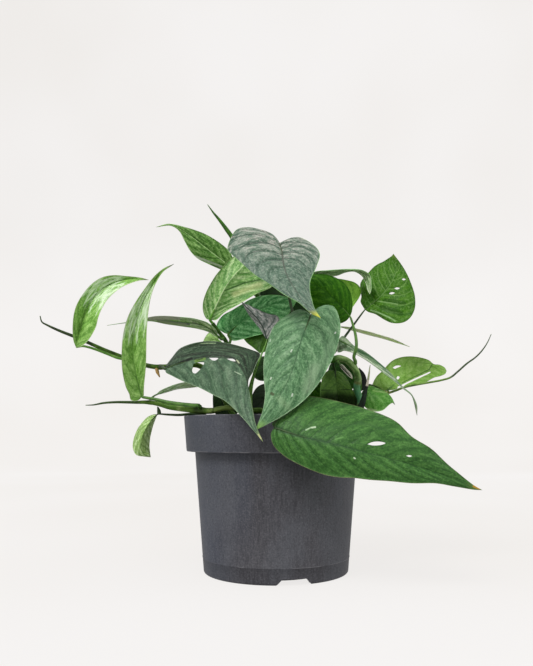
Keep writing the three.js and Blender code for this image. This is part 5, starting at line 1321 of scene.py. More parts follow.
def cut_holes(piece, outlines):
    """Cuts holes through a blade along the line of sight, as they are seen."""
    for number, outline in enumerate(outlines):
        line = catmull_rom([(x, z, 0) for x, z in [*outline, outline[0]]], 4)[0][:-1]
        rings = [[seen((x, z, depth)) * MM for x, z, _ in line] for depth in CUT_DEPTHS]
        count = len(line)
        points = [*rings[0], *rings[1], np.mean(rings[0], axis=0), np.mean(rings[1], axis=0)]
        faces = [(2 * count, i, (i + 1) % count) for i in range(count)]
        faces += [(2 * count + 1, count + (i + 1) % count, count + i) for i in range(count)]
        faces += [(i, count + i, count + (i + 1) % count, (i + 1) % count) for i in range(count)]
        apply_cut(piece, new_piece(f"cutter_{number}", points, faces))


def apply_cut(piece, cutter):
    """Takes the cutter's form out of a piece, and then removes the cutter."""
    fix_facing(cutter.data)
    cut = piece.modifiers.new("cut", "BOOLEAN")
    cut.operation = "DIFFERENCE"
    cut.solver = "EXACT"
    cut.object = cutter
    graph = bpy.context.evaluated_depsgraph_get()
    result = bpy.data.meshes.new_from_object(piece.evaluated_get(graph))
    piece.modifiers.clear()
    old = piece.data
    piece.data = result
    bpy.data.meshes.remove(old)
    bpy.data.objects.remove(cutter)


def fix_facing(mesh):
    """Turns a closed mesh inside out if its faces point inwards."""
    points = np.array([v.co for v in mesh.vertices])
    volume = 0.0
    for face in mesh.polygons:
        corners = points[list(face.vertices)]
        for k in range(1, len(corners) - 1):
            volume += np.dot(corners[0], np.cross(corners[k], corners[k + 1]))
    if volume < 0:
        mesh.flip_normals()


# Materials


def linear(colour, tone=1.0):
    """A colour as it is seen on a screen, 0 to 255, as linear light, made lighter or darker."""
    values = [c / 255 for c in colour]
    values = [v / 12.92 if v <= 0.04045 else ((v + 0.055) / 1.055) ** 2.4 for v in values]
    return (*[min(1.0, v * tone) for v in values], 1.0)


class Shader:
    """A node material put together from small steps, with its colour laid on in layers."""

    def __init__(self, name, roughness=0.5, gloss=0.5, tone=1.0):
        self.material = bpy.data.materials.new(name)
        self.material.use_nodes = True
        self.tree = self.material.node_tree
        self.surface = self.tree.nodes["Principled BSDF"]
        self.surface.inputs["Roughness"].default_value = roughness
        self.surface.inputs["Specular IOR Level"].default_value = gloss
        self.tone = tone
        self.colour = None

    def put(self, socket, value):
        if isinstance(value, bpy.types.NodeSocket):
            self.tree.links.new(value, socket)
        else:
            socket.default_value = value

    def node(self, kind, **inputs):
        node = self.tree.nodes.new(kind)
        for name, value in inputs.items():
            self.put(node.inputs[name.replace("_", " ")], value)
        return node

    def math(self, operation, a, b=0.0, c=0.0):
        node = self.tree.nodes.new("ShaderNodeMath")
        node.operation = operation
        for socket, value in zip(node.inputs, (a, b, c)):
            self.put(socket, value)
        return node.outputs[0]

    def times(self, product, *factors):
        for factor in factors:
            product = self.math("MULTIPLY", product, factor)
        return product

    def smooth(self, value, low, high, start=0.0, end=1.0):
        """A soft step from start to end while the value goes from low to high."""
        node = self.tree.nodes.new("ShaderNodeMapRange")
        node.interpolation_type = "SMOOTHSTEP"
        for socket, given in zip(node.inputs, (value, low, high, start, end)):
            self.put(socket, given)
        return node.outputs[0]

    def mix(self, share, a, b):
        node = self.tree.nodes.new("ShaderNodeMix")
        node.data_type = "RGBA"
        self.put(node.inputs["Factor"], share)
        for key, value in (("A", a), ("B", b)):
            socket = next(s for s in node.inputs if s.name == key and s.type == "RGBA")
            self.put(socket, value)
        return next(s for s in node.outputs if s.type == "RGBA")

    def ground(self, share, one, other):
        """The first layer: two colours mixed by a share."""
        self.colour = self.mix(share, linear(one, self.tone), linear(other, self.tone))

    def lay(self, share, colour):
        """The next layer: a colour that covers what is there by a share."""
        self.colour = self.mix(share, self.colour, linear(colour, self.tone))

    def place(self, stretch=(1, 1, 1), shift=(0, 0, 0)):
        """The point on the piece, in metres, stretched along the axes."""
        coordinates = self.tree.nodes.new("ShaderNodeTexCoord").outputs["Object"]
        node = self.node("ShaderNodeMapping", Vector=coordinates)
        node.inputs["Scale"].default_value = stretch
        node.inputs["Location"].default_value = shift
        return node.outputs[0]

    def chart(self, name):
        """The two numbers of one of the piece's maps."""
        node = self.tree.nodes.new("ShaderNodeUVMap")
        node.uv_map = name
        parts = self.node("ShaderNodeSeparateXYZ", Vector=node.outputs[0])
        return parts.outputs[0], parts.outputs[1]

    def weave(self, a, a_scale, b, b_scale, shift=0.0):
        """A place for a pattern that follows two maps, with the scale along each."""
        node = self.node("ShaderNodeCombineXYZ", Z=shift)
        self.put(node.inputs["X"], self.times(a, a_scale))
        self.put(node.inputs["Y"], self.times(b, b_scale))
        return node.outputs[0]

    def noise(self, vector, scale, detail=3.0, roughness=0.55, distortion=0.0):
        node = self.node("ShaderNodeTexNoise", Vector=vector, Scale=scale, Detail=detail)
        node.inputs["Roughness"].default_value = roughness
        node.inputs["Distortion"].default_value = distortion
        return node.outputs[0]

    def cells(self, vector, scale, feature="F1"):
        node = self.tree.nodes.new("ShaderNodeTexVoronoi")
        node.feature = feature
        self.put(node.inputs["Vector"], vector)
        node.inputs["Scale"].default_value = scale
        return node.outputs["Distance"]

    def vector_math(self, operation, *values):
        node = self.tree.nodes.new("ShaderNodeVectorMath")
        node.operation = operation
        for socket, value in zip(node.inputs, values):
            self.put(socket, value)
        return node.outputs["Value" if operation in ("DOT_PRODUCT", "LENGTH") else "Vector"]

    def line_gap(self, start, end):
        """The distance from a straight line between two points; depth counts for little."""
        shallow = np.array([1, MARK_DEPTH, 1])
        start, end = start * shallow, end * shallow
        place = self.place(stretch=(1, MARK_DEPTH, 1))
        offset = self.vector_math("SUBTRACT", place, tuple(start))
        line = end - start
        share = self.vector_math("DOT_PRODUCT", offset, tuple(line))
        share = self.math("DIVIDE", share, float(line @ line))
        nearest = self.vector_math("SCALE", tuple(line))
        along = self.node("ShaderNodeClamp", Value=share).outputs[0]
        self.put(nearest.node.inputs["Scale"], along)
        return self.vector_math("LENGTH", self.vector_math("SUBTRACT", offset, nearest))

    def bump(self, height, strength, distance, under=None):
        node = self.node("ShaderNodeBump", Height=height, Strength=strength, Distance=distance)
        if under is not None:
            self.put(node.inputs["Normal"], under)
        return node.outputs[0]

    def finish(self, normal=None, roughness=None):
        self.put(self.surface.inputs["Base Color"], self.colour)
        if normal is not None:
            self.put(self.surface.inputs["Normal"], normal)
        if roughness is not None:
            self.put(self.surface.inputs["Roughness"], roughness)
        return self.material


class BladeSkin(Shader):
    """Leaf skin. The maps give the number of the side vein and how far out a point lies, its
    distances from the midrib and the edge in mm, and its share of the blade's length."""

    def __init__(self, name, look, tone, shift):
        super().__init__(name, 0.5, look.get("gloss", BLADE_GLOSS), tone)
        self.look = look
        self.count, self.reach = self.chart("Veins")
        self.rib_gap, self.edge_gap = self.chart("Measure")
        self.along, _ = self.chart("Along")
        self.out = self.math("ABSOLUTE", self.reach)
        off_middle = self.math("SUBTRACT", self.math("FRACT", self.count), 0.5)
        self.in_vein = self.math("SUBTRACT", 0.5, self.math("ABSOLUTE", off_middle))
        own = (shift, shift * 0.7, shift * 1.3)
        self.cloudy = self.noise(self.place(shift=own), CLOUD_SCALE, 5, 0.68, 0.3)
        self.fine = self.noise(self.place(shift=own), SPECK_SCALE, 5, 0.72)
        if look.get("lengthwise"):
            flow = self.weave(self.reach, 5.5, self.along, 2.2)
        else:
            flow = self.weave(self.count, 3.4, self.reach, look.get("grain", 3.2), shift)
        self.strokes = self.noise(flow, 1.3, 5, 0.68, 0.35)
        self.broad = self.noise(self.weave(self.count, 0.9, self.reach, 1.6, shift), 1.6, 4, 0.65)
        self.fading = self.smooth(self.along, 0.3, 0.6, 1.0, look.get("fading", 1.0))

    def mottle(self):
        """Strokes of the two ground colours, and clouds of both over them."""
        base, patch = self.look["base"], self.look["patch"]
        self.ground(self.smooth(self.strokes, 0.36, 0.62), base, patch)
        self.lay(self.smooth(self.cloudy, 0.48, 0.66, 0.0, 0.6), patch)
        self.lay(self.smooth(self.cloudy, 0.5, 0.34, 0.0, 0.6), base)

    def lighten_crowns(self):
        """Painted highlights on the crowns between the side veins, and light strokes in that colour."""
        ridge = self.times(self.smooth(self.in_vein, 0.1, 0.5), self.smooth(self.broad, 0.4, 0.62))
        share = self.times(self.fading, self.look["crown_share"])
        self.lay(self.times(ridge, share), self.look["crown"])
        self.lay(self.times(self.smooth(self.strokes, 0.54, 0.7), share), self.look["crown"])

    def painted_sheen(self):
        """A painted sheen: a pale painted reflection on the part near the stalk."""
        near = self.smooth(self.along, 0.62, 0.12)
        share = self.times(near, self.smooth(self.strokes, 0.46, 0.66), 0.75)
        self.lay(share, self.look["painted_sheen"])

    def darken_far_half(self):
        """The half of a folded blade that is turned away from the light."""
        far = self.smooth(self.reach, 0.02, -0.06)
        lines = self.noise(self.weave(self.reach, 7, self.along, 2), 1.4, 4, 0.6)
        self.lay(self.times(far, self.smooth(lines, 0.6, 0.42, 0.4, 1.0)), self.look["far_half"])

    def draw_veins(self):
        """Shaded valleys along the side veins, the veins in them, a fine net and specks."""
        veining = self.look.get("veining", 0.6)
        valley = self.times(
            self.smooth(self.in_vein, 0.0, 0.2, 1.0, 0.0),
            self.smooth(self.out, 1.0, 0.6, 0.2, 1.0), self.fading, veining * 0.6,
        )
        width = self.math("MULTIPLY_ADD", self.out, -0.03, 0.055)
        vein = self.times(
            self.smooth(self.in_vein, 0.0, width, 1.0, 0.0), self.smooth(self.out, 1.0, 0.7),
            self.smooth(self.broad, 0.38, 0.56, veining * 0.3, veining * 1.4), self.fading,
        )
        cells = self.cells(self.place(), NET_SCALE, "DISTANCE_TO_EDGE")
        net = self.smooth(cells, 0.0, 0.09, 0.25, 0.0)
        for share in (valley, vein, net, self.smooth(self.fine, 0.5, 0.36, 0.0, 0.5)):
            self.lay(share, self.look["vein"])
        self.lay(self.smooth(self.fine, 0.52, 0.66, 0.0, 0.42), self.look["crown"])

    def marble(self):
        """Silver patches on the middle stretch of the blade."""
        stripes = self.noise(self.weave(self.reach, 2.0, self.along, 3.6), 2.2, 5, 0.66, 0.6)
        window = self.times(self.smooth(self.along, 0.3, 0.5), self.smooth(self.along, 0.92, 0.72))
        level = self.math("MULTIPLY_ADD", window, -0.27, 0.66)
        pale = self.smooth(stripes, level, self.math("ADD", level, 0.2))
        self.lay(self.times(pale, 0.85), self.look["marbling"])

    def draw_edges(self):
        """The shade along the midrib, the midrib, the rim of the blade and its tip."""
        look = self.look
        shade = self.smooth(self.rib_gap, 0.0, look["band"], 1.0, 0.0)
        self.lay(self.times(shade, self.smooth(self.along, 0.75, 0.1, 0.15, 0.7)), look["rib"])
        width = self.math("MULTIPLY_ADD", self.along, -0.35, 0.5)
        rib = self.smooth(self.rib_gap, self.times(width, 0.5), width, 1.0, 0.0)
        self.lay(self.times(rib, 0.8), look["rib"])
        self.lay(self.times(self.smooth(self.edge_gap, 0.2, 0.6, 1.0, 0.0), 0.75), look["rim"])
        self.lay(self.smooth(self.along, 0.925, 0.985), look["tip"])

    def add_marks(self, marks):
        """Scratches, slits, spots and patches, some of them painted shade and painted light, each in a
        colour that the leaf's tone leaves alone.
        """
        self.tone = 1.0
        for start, end, width, colour, strength in marks:
            core = 0.0 if strength < SOFT_MARK else 0.5
            gap = self.line_gap(start * MM, end * MM)
            near = self.smooth(gap, width * core * MM, width * 1.15 * MM, 1.0, 0.0)
            speckled = self.smooth(self.fine, 0.3, 0.6, 0.7, 1.1)
            self.lay(self.times(near, speckled, strength), colour)


def blade_material(name, look, tone, shift, marks):
    """Leaf skin: mottled, with side veins, a midrib, an edge line and a coloured tip."""
    s = BladeSkin(name, look, tone, shift)
    s.mottle()
    s.lighten_crowns()
    if "painted_sheen" in look:
        s.painted_sheen()
    if "far_half" in look:
        s.darken_far_half()
    s.draw_veins()
    if "marbling" in look:
        s.marble()
    s.draw_edges()
    s.add_marks(marks)
    normal = s.bump(s.smooth(s.in_vein, 0.0, 0.16), 0.35, 0.0004)
    normal = s.bump(s.strokes, 0.4, 0.0006, normal)
    normal = s.bump(s.fine, 0.25, 0.0003, normal)
    return s.finish(normal, s.smooth(s.cloudy, 0.3, 0.7, 0.4, 0.56))


def stem_material(name, base, light, dark, bands):
    """Green bark with streaks along it and stretches of another colour, by their shares."""
    s = Shader(name, 0.5, 0.18)
    length, around = s.chart("Veins")
    along, _ = s.chart("Along")
    streaks = s.noise(s.weave(length, 0.07, around, 3.0), 2.2, 5, 0.65)
    patches = s.noise(s.place(), 160, 4, 0.6)
    fine = s.noise(s.place(), 800, 3)
    s.ground(s.smooth(streaks, 0.36, 0.62), base, light)
    for low, high, tint in bands:
        begun = s.smooth(along, low - BAND_EDGE, low + BAND_EDGE)
        ended = s.smooth(along, high + BAND_EDGE, high - BAND_EDGE)
        s.lay(s.times(begun, ended, s.smooth(streaks, 0.3, 0.6, 0.65, 1.0)), tint)
    s.lay(s.smooth(patches, 0.5, 0.66, 0.0, 0.7), dark)
    s.lay(s.smooth(fine, 0.55, 0.75, 0.0, 0.3), light)
    height = s.math("ADD", s.times(streaks, 0.7), s.times(fine, 0.3))
    return s.finish(s.bump(height, 0.45, 0.0005), s.smooth(patches, 0.3, 0.7, 0.42, 0.6))


def stalk_material(name, base, light):
    """A smooth green stalk with faint streaks and specks."""
    s = Shader(name, 0.45, 0.3)
    length, around = s.chart("Veins")
    streaks = s.noise(s.weave(length, 0.06, around, 2.0), 2.4, 4, 0.6)
    s.ground(s.smooth(streaks, 0.36, 0.64), base, light)
    s.lay(s.smooth(s.noise(s.place(), 500, 3), 0.5, 0.7, 0.0, 0.35), (34, 54, 18))
    return s.finish(s.bump(streaks, 0.3, 0.0003))


def pot_material():
    """Dark moulded plastic with fine upright scuffs, handling marks, a grain and broad bluish patches of
    painted reflection.
    """
    s = Shader("pot_plastic", 0.5, 0.4)
    upright = s.noise(s.place(stretch=(1, 1, 0.1)), 700, 5, 0.7)
    grain = s.noise(s.place(), 760, 5, 0.75)
    broad = s.noise(s.place(stretch=(1, 1, 0.45)), 30, 4, 0.6)
    # Broad bluish patches: a painted reflection of cool light on the plastic.
    painted_blue_reflection = s.noise(s.place(stretch=(1, 1, 0.3), shift=(0.21, 0.05, 0)), 11, 2, 0.5)
    s.ground(s.smooth(upright, 0.3, 0.72), (45, 44, 49), (68, 67, 72))
    s.lay(s.smooth(painted_blue_reflection, 0.48, 0.64, 0.0, 0.5), (56, 64, 80))
    s.lay(s.smooth(broad, 0.4, 0.66, 0.0, 0.6), (78, 80, 86))
    s.lay(s.smooth(grain, 0.5, 0.68, 0.0, 0.5), (98, 97, 102))
    s.lay(s.smooth(grain, 0.48, 0.34, 0.0, 0.5), (28, 28, 33))
    specks = s.smooth(s.cells(s.place(), 260), 0.1, 0.04)
    rare = s.smooth(s.noise(s.place(shift=(1, 2, 3)), 90, 2), 0.52, 0.62)
    s.lay(s.times(specks, rare, 0.55), (128, 126, 126))
    height = s.node("ShaderNodeSeparateXYZ", Vector=s.place()).outputs[2]
    worn = s.smooth(s.noise(s.place(stretch=(1, 1, 0)), 45, 3), 0.44, 0.6)
    rubbed_edges = (
        (MOULD_LINE, 0.35, 0.5),
        (POT_HEIGHT - 0.3, 0.6, 0.6),
        (POT_HEIGHT - COLLAR_HEIGHT + 0.5, 0.6, 0.5),
    )
    for level, width, share in rubbed_edges:
        gap = s.math("ABSOLUTE", s.math("SUBTRACT", height, level * MM))
        line = s.smooth(gap, width * MM * 0.4, width * MM, 1.0, 0.0)
        s.lay(s.times(line, worn, share), (122, 121, 124))
    normal = s.bump(grain, 0.25, 0.0003, s.bump(upright, 0.2, 0.0003))
    return s.finish(normal, s.smooth(broad, 0.3, 0.7, 0.46, 0.62))


def soil_material():
    s = Shader("soil_peat", 0.95)
    crumbs = s.cells(s.place(), 420)
    mottling = s.noise(s.place(), 160, 5, 0.65)
    s.ground(s.smooth(mottling, 0.35, 0.65), (34, 25, 18), (62, 46, 33))
    s.lay(s.smooth(crumbs, 0.2, 0.6, 0.0, 0.5), (22, 16, 12))
    return s.finish(s.bump(s.math("ADD", mottling, crumbs), 0.8, 0.0015))


def bark_material():
    s = Shader("soil_bark", 0.9)
    grain = s.noise(s.place(stretch=(1, 1, 3)), 320, 4, 0.6)
    s.ground(s.smooth(grain, 0.35, 0.65), (58, 40, 26), (104, 78, 52))
    return s.finish(s.bump(grain, 0.6, 0.0006))


def perlite_material():
    s = Shader("soil_perlite", 0.9)
    grain = s.noise(s.place(), 900, 3)
    s.ground(s.smooth(grain, 0.3, 0.7), (168, 160, 146), (206, 200, 188))
    return s.finish(s.bump(grain, 0.5, 0.0004))


# Pieces


def settle(piece, node):
    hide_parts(node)
    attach(piece, "root")


def add_twigs(form, twigs, steps, slot):
    """Root stubs and remains of sheaths, each a bent tube that tapers."""
    for *places, width in twigs:
        radii = [width, width * 0.9, width * 0.3]
        add_tube(form, seen_curve(places), radii, TWIG_SIDES, steps, slot)


def make_stems():
    """The stems, each with slight swellings where its leaves grow."""
    root_tip = stalk_material("aerial_root", (206, 160, 96), (228, 192, 136))
    for stem in STEMS:
        form = Form()
        curve = stem["curve"]
        length = curve[1][-1]

        def radius(share, stem=stem, length=length):
            gaps = [(share - bud) * length / NODE_LENGTH for bud in stem["buds"]]
            swelling = sum(np.exp(-(gap**2)) for gap in gaps)
            return spread_along(stem["radii"], share) * (1 + NODE_SWELLING * np.minimum(swelling, 1))

        add_tube(form, curve, radius, STEM_SIDES, int(length / STEM_STEP), 0)
        add_twigs(form, stem.get("twigs", []), 12, 1)
        base, light, dark, bands = BARK[stem["name"]]
        shares = []
        for first, last, tint in bands:
            low, high = sorted(share_near(curve, place) for place in (first, last))
            shares.append((low, high, tint))
        bark = stem_material(f"bark_{stem['name']}", base, light, dark, shares)
        piece = form.build(stem["name"] + "_fine", [bark, root_tip])
        settle(piece, stem["name"])


def marks_on(form, marks):
    """The marks of one leaf, with both ends of each found on the blade where they are seen.
    A place just past the edge takes the nearest point of the blade."""
    if not marks:
        return []
    points = np.vstack(form.points)
    blade = BVHTree.FromPolygons(points.tolist(), form.faces)
    outline = as_seen(points)
    eye = Vector((0, -EYE_DISTANCE, EYE_HEIGHT))

    def on_blade(place):
        toward = Vector(seen((*place, 0))) - eye
        found = blade.ray_cast(eye, toward)[0]
        if found is None:
            return points[np.argmin(np.hypot(*(outline - np.array(place)).T))]
        return np.array(found)

    return [(on_blade(start), on_blade(end), *rest) for start, end, *rest in marks]


def add_petiole(form, leaf, stems):
    """The stalk of a leaf, from its stem or the soil into the midrib."""
    middle = seen_curve(leaf["midrib"])
    base = seen(leaf["midrib"][0])
    via = [seen(place) for place in leaf["via"]]
    if "root" in leaf:
        start = footing(leaf["root"])
    else:
        start = bud_points(stems[leaf["stem"]], leaf["near"], via[0] if via else base)
    sunk = [at_share(middle, share) for share in (0.03, 0.08, 0.16)]
    route = catmull_rom([*start, *via, base, *sunk], 10)
    radii = leaf.get("petiole", PETIOLE_RADIUS) * np.array([1, 1, 0.92, 0.8, 0.62, 0.2])
    steps = max(16, int(route[1][-1] / PETIOLE_STEP))
    add_tube(form, route, radii, PETIOLE_SIDES, steps, 2)
    add_twigs(form, leaf.get("twigs", []), 10, 2)


def make_leaves(stems):
    """Every leaf: its blade with two faces, and its stalk from the stem or the soil."""
    stalks = {}
    for kind, (base, light, names) in STALKS.items():
        material = stalk_material(f"stalk_{kind}", base, light)
        stalks.update({name: material for name in names or [leaf["name"] for leaf in LEAVES]})
    for number, leaf in enumerate(LEAVES):
        name = leaf["name"]
        upper, under, tone, *look = LOOKS[name]
        form = Form()
        add_blade(form, leaf, look, *(LARGE_GRID if name in LARGE_LEAVES else SMALL_GRID))
        marks = marks_on(form, MARKS.get(name, ()))
        add_petiole(form, leaf, stems)
        skins = [
            blade_material(f"{name}_{side}", BLADES[kind], tone, number * PATTERN_SHIFT, marks)
            for side, kind in (("upper", upper), ("under", under))
        ]
        piece = form.build(name + "_fine", [*skins, stalks[name]])
        cut_holes(piece, leaf.get("holes", []))
        settle(piece, name)


def arc(centre, radius, start, end, count=6):
    """Points of a round corner, with the angles in degrees."""
    angles = [math.radians(start + (end - start) * i / count) for i in range(count + 1)]
    return [(centre[0] + radius * math.cos(a), centre[1] + radius * math.sin(a)) for a in angles]


def turned(name, outline, turns, materials):
    """A closed solid of revolution about Z, from (radius, z) points between two on the axis."""
    form = Form()
    ring = np.linspace(0, 2 * np.pi, turns, endpoint=False)
    points = [np.array([[0, 0, outline[0][1]]])]
    for radius, z in outline[1:-1]:
        level = np.full(turns, z)
        points.append(np.stack([radius * np.cos(ring), radius * np.sin(ring), level], 1))
    points.append(np.array([[0, 0, outline[-1][1]]]))
    faces = []
    levels = len(outline) - 2
    last = 1 + levels * turns
    for j in range(turns):
        k = (j + 1) % turns
        faces.append((0, 1 + k, 1 + j))
        faces.append((last, last - turns + j, last - turns + k))
        for i in range(levels - 1):
            a = 1 + i * turns
            faces.append((a + j, a + k, a + turns + k, a + turns + j))
    form.add(np.vstack(points), faces, 0)
    return form.build(name, materials)


def make_pot():
    """The pot: a turned wall with a collar and a foot ring, and its drainage notches."""
    collar_foot = POT_HEIGHT - COLLAR_HEIGHT
    collar = RIM_RADIUS - COLLAR_TAPER
    floor = CHANNEL_DEPTH + WALL
    slope = (LEDGE_RADIUS - BASE_RADIUS) / (collar_foot - BASE_ROUNDING)

    def wall_at(z):
        return BASE_RADIUS + slope * (z - BASE_ROUNDING)

    mould_ridge = [
        (wall_at(MOULD_LINE + rise) + out, MOULD_LINE + rise)
        for rise, out in ((-0.5, 0), (-0.2, 0.2), (0.2, 0.2), (0.5, 0))
    ]
    outline = [
        (0, 0), (CHANNEL_INNER - 0.5, 0), (CHANNEL_INNER, 0.5), (CHANNEL_INNER, CHANNEL_DEPTH),
        (CHANNEL_OUTER, CHANNEL_DEPTH), (CHANNEL_OUTER, 0.4), (CHANNEL_OUTER + 0.4, 0),
        *arc((BASE_RADIUS - BASE_ROUNDING, BASE_ROUNDING), BASE_ROUNDING, -90, 0),
        *mould_ridge,
        (wall_at(collar_foot) - 0.1, collar_foot - 0.3),
        (wall_at(collar_foot) + 0.2, collar_foot),
        *arc((collar - COLLAR_EDGE, collar_foot + COLLAR_EDGE), COLLAR_EDGE, -90, 0, 4),
        *arc((RIM_RADIUS - RIM_EDGE, POT_HEIGHT - RIM_EDGE), RIM_EDGE, 0, 180, 8),
        (collar - WALL, collar_foot + WALL + 0.6),
        (collar - WALL - 0.6, collar_foot + WALL),
        (LEDGE_RADIUS - WALL, collar_foot + WALL),
        (BASE_RADIUS - WALL, floor + FLOOR_FILLET),
        (BASE_RADIUS - WALL - FLOOR_FILLET, floor),
        (0, floor),
    ]
    pot = turned("pot_fine", outline, POT_TURNS, [pot_material()])
    for i in range(NOTCH_COUNT):
        azimuth = math.radians(NOTCH_AZIMUTH + 360 / NOTCH_COUNT * i)
        turn = Matrix.Rotation(azimuth, 4, "Z")
        apply_cut(pot, wedge(turn))
        apply_cut(pot, drain(turn))
    pot.data.set_sharp_from_angle(angle=math.radians(38))
    settle(pot, "pot")


def wedge(turn):
    """The cutter of a drainage notch, wider at the foot than at its top."""
    half, half_top = NOTCH_WIDTH / 2, NOTCH_TOP_WIDTH / 2
    shape = [(-half - 1, -1), (half + 1, -1), (half_top, CHANNEL_DEPTH), (-half_top, CHANNEL_DEPTH)]
    reach = (CHANNEL_OUTER - WALL, LEDGE_RADIUS)
    points = [turn @ Vector((radius, across, z)) * MM for radius in reach for across, z in shape]
    faces = [(0, 1, 2, 3), (7, 6, 5, 4)]
    faces += [(i, 4 + i, 4 + (i + 1) % 4, (i + 1) % 4) for i in range(4)]
    return new_piece("notch_cutter", points, faces)


def drain(turn):
    """The cutter of a round drain hole in the channel behind a notch."""
    outline = [(0, -1), (DRAIN_RADIUS, -1), (DRAIN_RADIUS, 12), (0, 12)]
    cutter = turned("drain_cutter", outline, 32, [])
    middle = (CHANNEL_INNER + CHANNEL_OUTER) / 2 * MM
    cutter.data.transform(turn @ Matrix.Translation((middle, 0, 0)))
    return cutter


def soil_level(distance, edge):
    """The height of the soil's smooth top, which slopes down near its edge."""
    drop = SOIL_MOUND * max(0, (distance - edge + SOIL_SLOPE) / SOIL_SLOPE)
    return SOIL_TOP - SOIL_SINK - drop


def soil_roughness(x, y):
    """How far the soil's surface lies above or below that, in millimetres."""
    lumps = noise.fractal(Vector((x * 0.06, y * 0.06, 3.1)), 0.9, 2.1, 4)
    crumbs = noise.fractal(Vector((x * 0.35, y * 0.35, 7.7)), 0.8, 2.2, 3)
    return 1.5 * lumps + 0.9 * crumbs


def make_soil():
    """The soil: a turned plug with a rough top, and loose bits of bark and perlite on it."""
    collar_foot = POT_HEIGHT - COLLAR_HEIGHT + WALL + CLEARANCE
    edge = RIM_RADIUS - COLLAR_TAPER - WALL - CLEARANCE
    floor = CHANNEL_DEPTH + WALL + CLEARANCE
    base = BASE_RADIUS - WALL - CLEARANCE
    rings = [edge * i / SOIL_RINGS for i in range(SOIL_RINGS, 0, -1)]
    outline = [
        (0, floor), (base - FLOOR_FILLET, floor), (base, floor + FLOOR_FILLET),
        (LEDGE_RADIUS - WALL - CLEARANCE, collar_foot), (edge, collar_foot),
        *[(r, soil_level(r, edge)) for r in rings], (0, soil_level(0, edge)),
    ]
    soil = turned("soil_fine", outline, SOIL_TURNS, [soil_material()])
    for vertex in soil.data.vertices:
        x, y, z = vertex.co / MM
        if z > SOIL_TOP - SOIL_MOUND - 1:
            vertex.co.z += soil_roughness(x, y) * MM
    settle(soil, "soil")
    scatter("soil_bark_bits", bark_material(), 520, (1.4, 4.2), (1.0, 0.6, 0.35), 11)
    scatter("soil_perlite_bits", perlite_material(), 90, (0.8, 1.6), (1.0, 0.9, 0.8), 12)


def scatter(name, material, count, sizes, shape, seed):
    """Small angular bits strewn over the soil, each a regular solid pulled out of shape."""
    draw = random.Random(seed)
    form = Form()
    golden = (1 + 5**0.5) / 2
    rectangle = [(0, a, b * golden) for a in (-1, 1) for b in (-1, 1)]
    corners = np.array([np.roll(corner, -roll) for roll in range(3) for corner in rectangle]) / 1.9
    faces = hull_faces(corners)
    edge = RIM_RADIUS - COLLAR_TAPER - WALL - 3
    for _ in range(count):
        distance = edge * draw.random() ** 0.5
        angle = draw.uniform(0, 2 * math.pi)
        x, y = distance * math.cos(angle), distance * math.sin(angle)
        size = draw.uniform(*sizes)
        jitter = np.array([[draw.uniform(0.75, 1.25) for _ in range(3)] for _ in corners])
        spin = Matrix.Rotation(draw.uniform(0, 6.28), 3, "Z")
        tilt = Matrix.Rotation(draw.uniform(-0.5, 0.5), 3, "X")
        placed = corners * jitter * np.array(shape) * size @ np.array(spin @ tilt).T
        lift = soil_level(distance, edge) + soil_roughness(x, y) + 0.15 * size
        form.add(placed + [x, y, lift], faces, 0)
    piece = form.build(name, [material])
    piece.data.polygons.foreach_set("use_smooth", [False] * len(piece.data.polygons))
    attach(piece, "root")


def hull_faces(corners):
    """The triangles of a regular twenty-sided solid: every three corners an edge apart."""
    gaps = np.linalg.norm(corners[:, None] - corners[None], axis=2)
    side = gaps[gaps > 0].min() * 1.05
    faces = []
    for i, j, k in itertools.combinations(range(len(corners)), 3):
        if max(gaps[i, j], gaps[j, k], gaps[i, k]) < side:
            normal = np.cross(corners[j] - corners[i], corners[k] - corners[i])
            faces.append((i, j, k) if normal @ corners[i] > 0 else (i, k, j))
    return faces


# The stage, the light and the camera


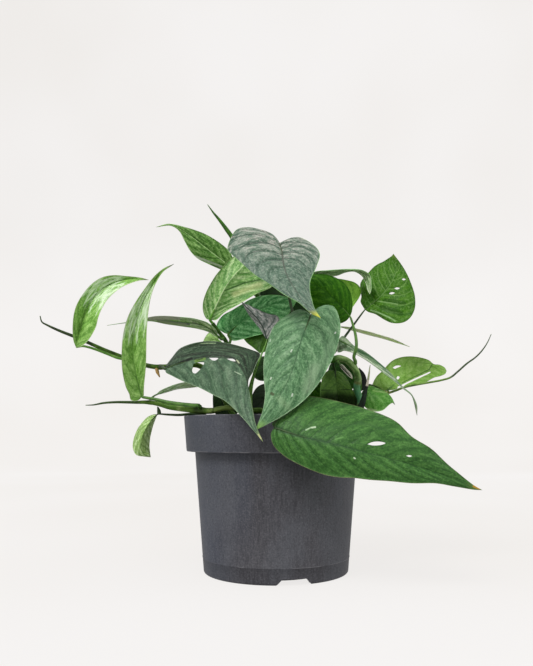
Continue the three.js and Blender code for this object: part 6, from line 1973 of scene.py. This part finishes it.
def make_stage():
    """A pale round floor that curves up into a wall all around the plant."""
    radius, bend, height, turns = 2.6, 1.0, 3.0, 96
    profile = [(radius - bend, 0.0)]
    for i in range(1, 25):
        angle = math.radians(90 * i / 24)
        profile.append((radius - bend + bend * math.sin(angle), bend - bend * math.cos(angle)))
    profile.append((radius, height))
    points = [(0.0, 0.0, 0.0)]
    for distance, z in profile:
        for j in range(turns):
            angle = 2 * math.pi * j / turns
            points.append((distance * math.cos(angle), distance * math.sin(angle), z))
    faces = [(0, 1 + j, 1 + (j + 1) % turns) for j in range(turns)]
    for i in range(len(profile) - 1):
        low, high = 1 + i * turns, 1 + (i + 1) * turns
        for j in range(turns):
            k = (j + 1) % turns
            faces.append((low + j, high + j, high + k, low + k))
    backdrop = new_piece("backdrop", points, faces)
    backdrop.data.polygons.foreach_set("use_smooth", [True] * len(faces))
    s = Shader("backdrop_paper", 0.9, 0.0)
    warmth = s.smooth(s.noise(s.place(), 0.9, 2), 0.3, 0.7)
    s.ground(warmth, (241, 238, 235), (245, 243, 242))
    s.put(s.surface.inputs["Emission Color"], s.colour)
    s.surface.inputs["Emission Strength"].default_value = BACKDROP_GLOW
    s.ground(warmth, (76, 75, 74), (80, 79, 78))
    backdrop.data.materials.append(s.finish())
    backdrop.visible_diffuse = False
    backdrop.visible_shadow = False
    backdrop.visible_glossy = False


def make_light():
    """Soft light from the upper left in front, and a pale sky that is dimmer below."""
    world = bpy.data.worlds.new("studio")
    world.use_nodes = True
    tree = world.node_tree
    direction = tree.nodes.new("ShaderNodeTexCoord").outputs["Generated"]
    parts = tree.nodes.new("ShaderNodeSeparateXYZ")
    tree.links.new(direction, parts.inputs[0])
    level = tree.nodes.new("ShaderNodeMapRange")
    tree.links.new(parts.outputs[2], level.inputs[0])
    for socket, value in zip(level.inputs[1:5], (-0.5, 0.9, SKY_LOW, SKY_HIGH)):
        socket.default_value = value
    background = tree.nodes["Background"]
    background.inputs["Color"].default_value = (1, 0.995, 0.985, 1)
    tree.links.new(level.outputs[0], background.inputs["Strength"])
    bpy.context.scene.world = world
    for name, place, strength, spread in (
        ("key", (-0.75, -1.0, 1.35), KEY, 24),
        ("fill", (1.4, -1.0, 0.7), FILL, 60),
    ):
        lamp = bpy.data.lights.new(name, "SUN")
        lamp.energy = strength
        lamp.angle = math.radians(spread)
        light = bpy.data.objects.new(name, lamp)
        light.location = place
        light.rotation_euler = (-Vector(place)).to_track_quat("-Z", "Y").to_euler()
        bpy.context.scene.collection.objects.link(light)


def make_camera():
    lens = bpy.data.cameras.new("camera")
    lens.sensor_width = 36
    lens.lens = LENS
    lens.shift_x, lens.shift_y = SHIFT
    lens.clip_start = 0.02
    camera = bpy.data.objects.new("camera", lens)
    camera.location = (0, -EYE_DISTANCE * MM, EYE_HEIGHT * MM)
    camera.rotation_euler = (math.radians(90), 0, 0)
    bpy.context.scene.collection.objects.link(camera)
    bpy.context.scene.camera = camera


def main():
    bpy.context.scene.view_settings.view_transform = "Standard"
    make_camera()
    make_stage()
    make_light()
    for stem in STEMS:
        stem["curve"] = catmull_rom([*footing(stem["root"]), *[seen(p) for p in stem["route"]]])
        stem["buds"] = []
    make_leaves({stem["name"]: stem for stem in STEMS})
    make_stems()
    make_pot()
    make_soil()


main()
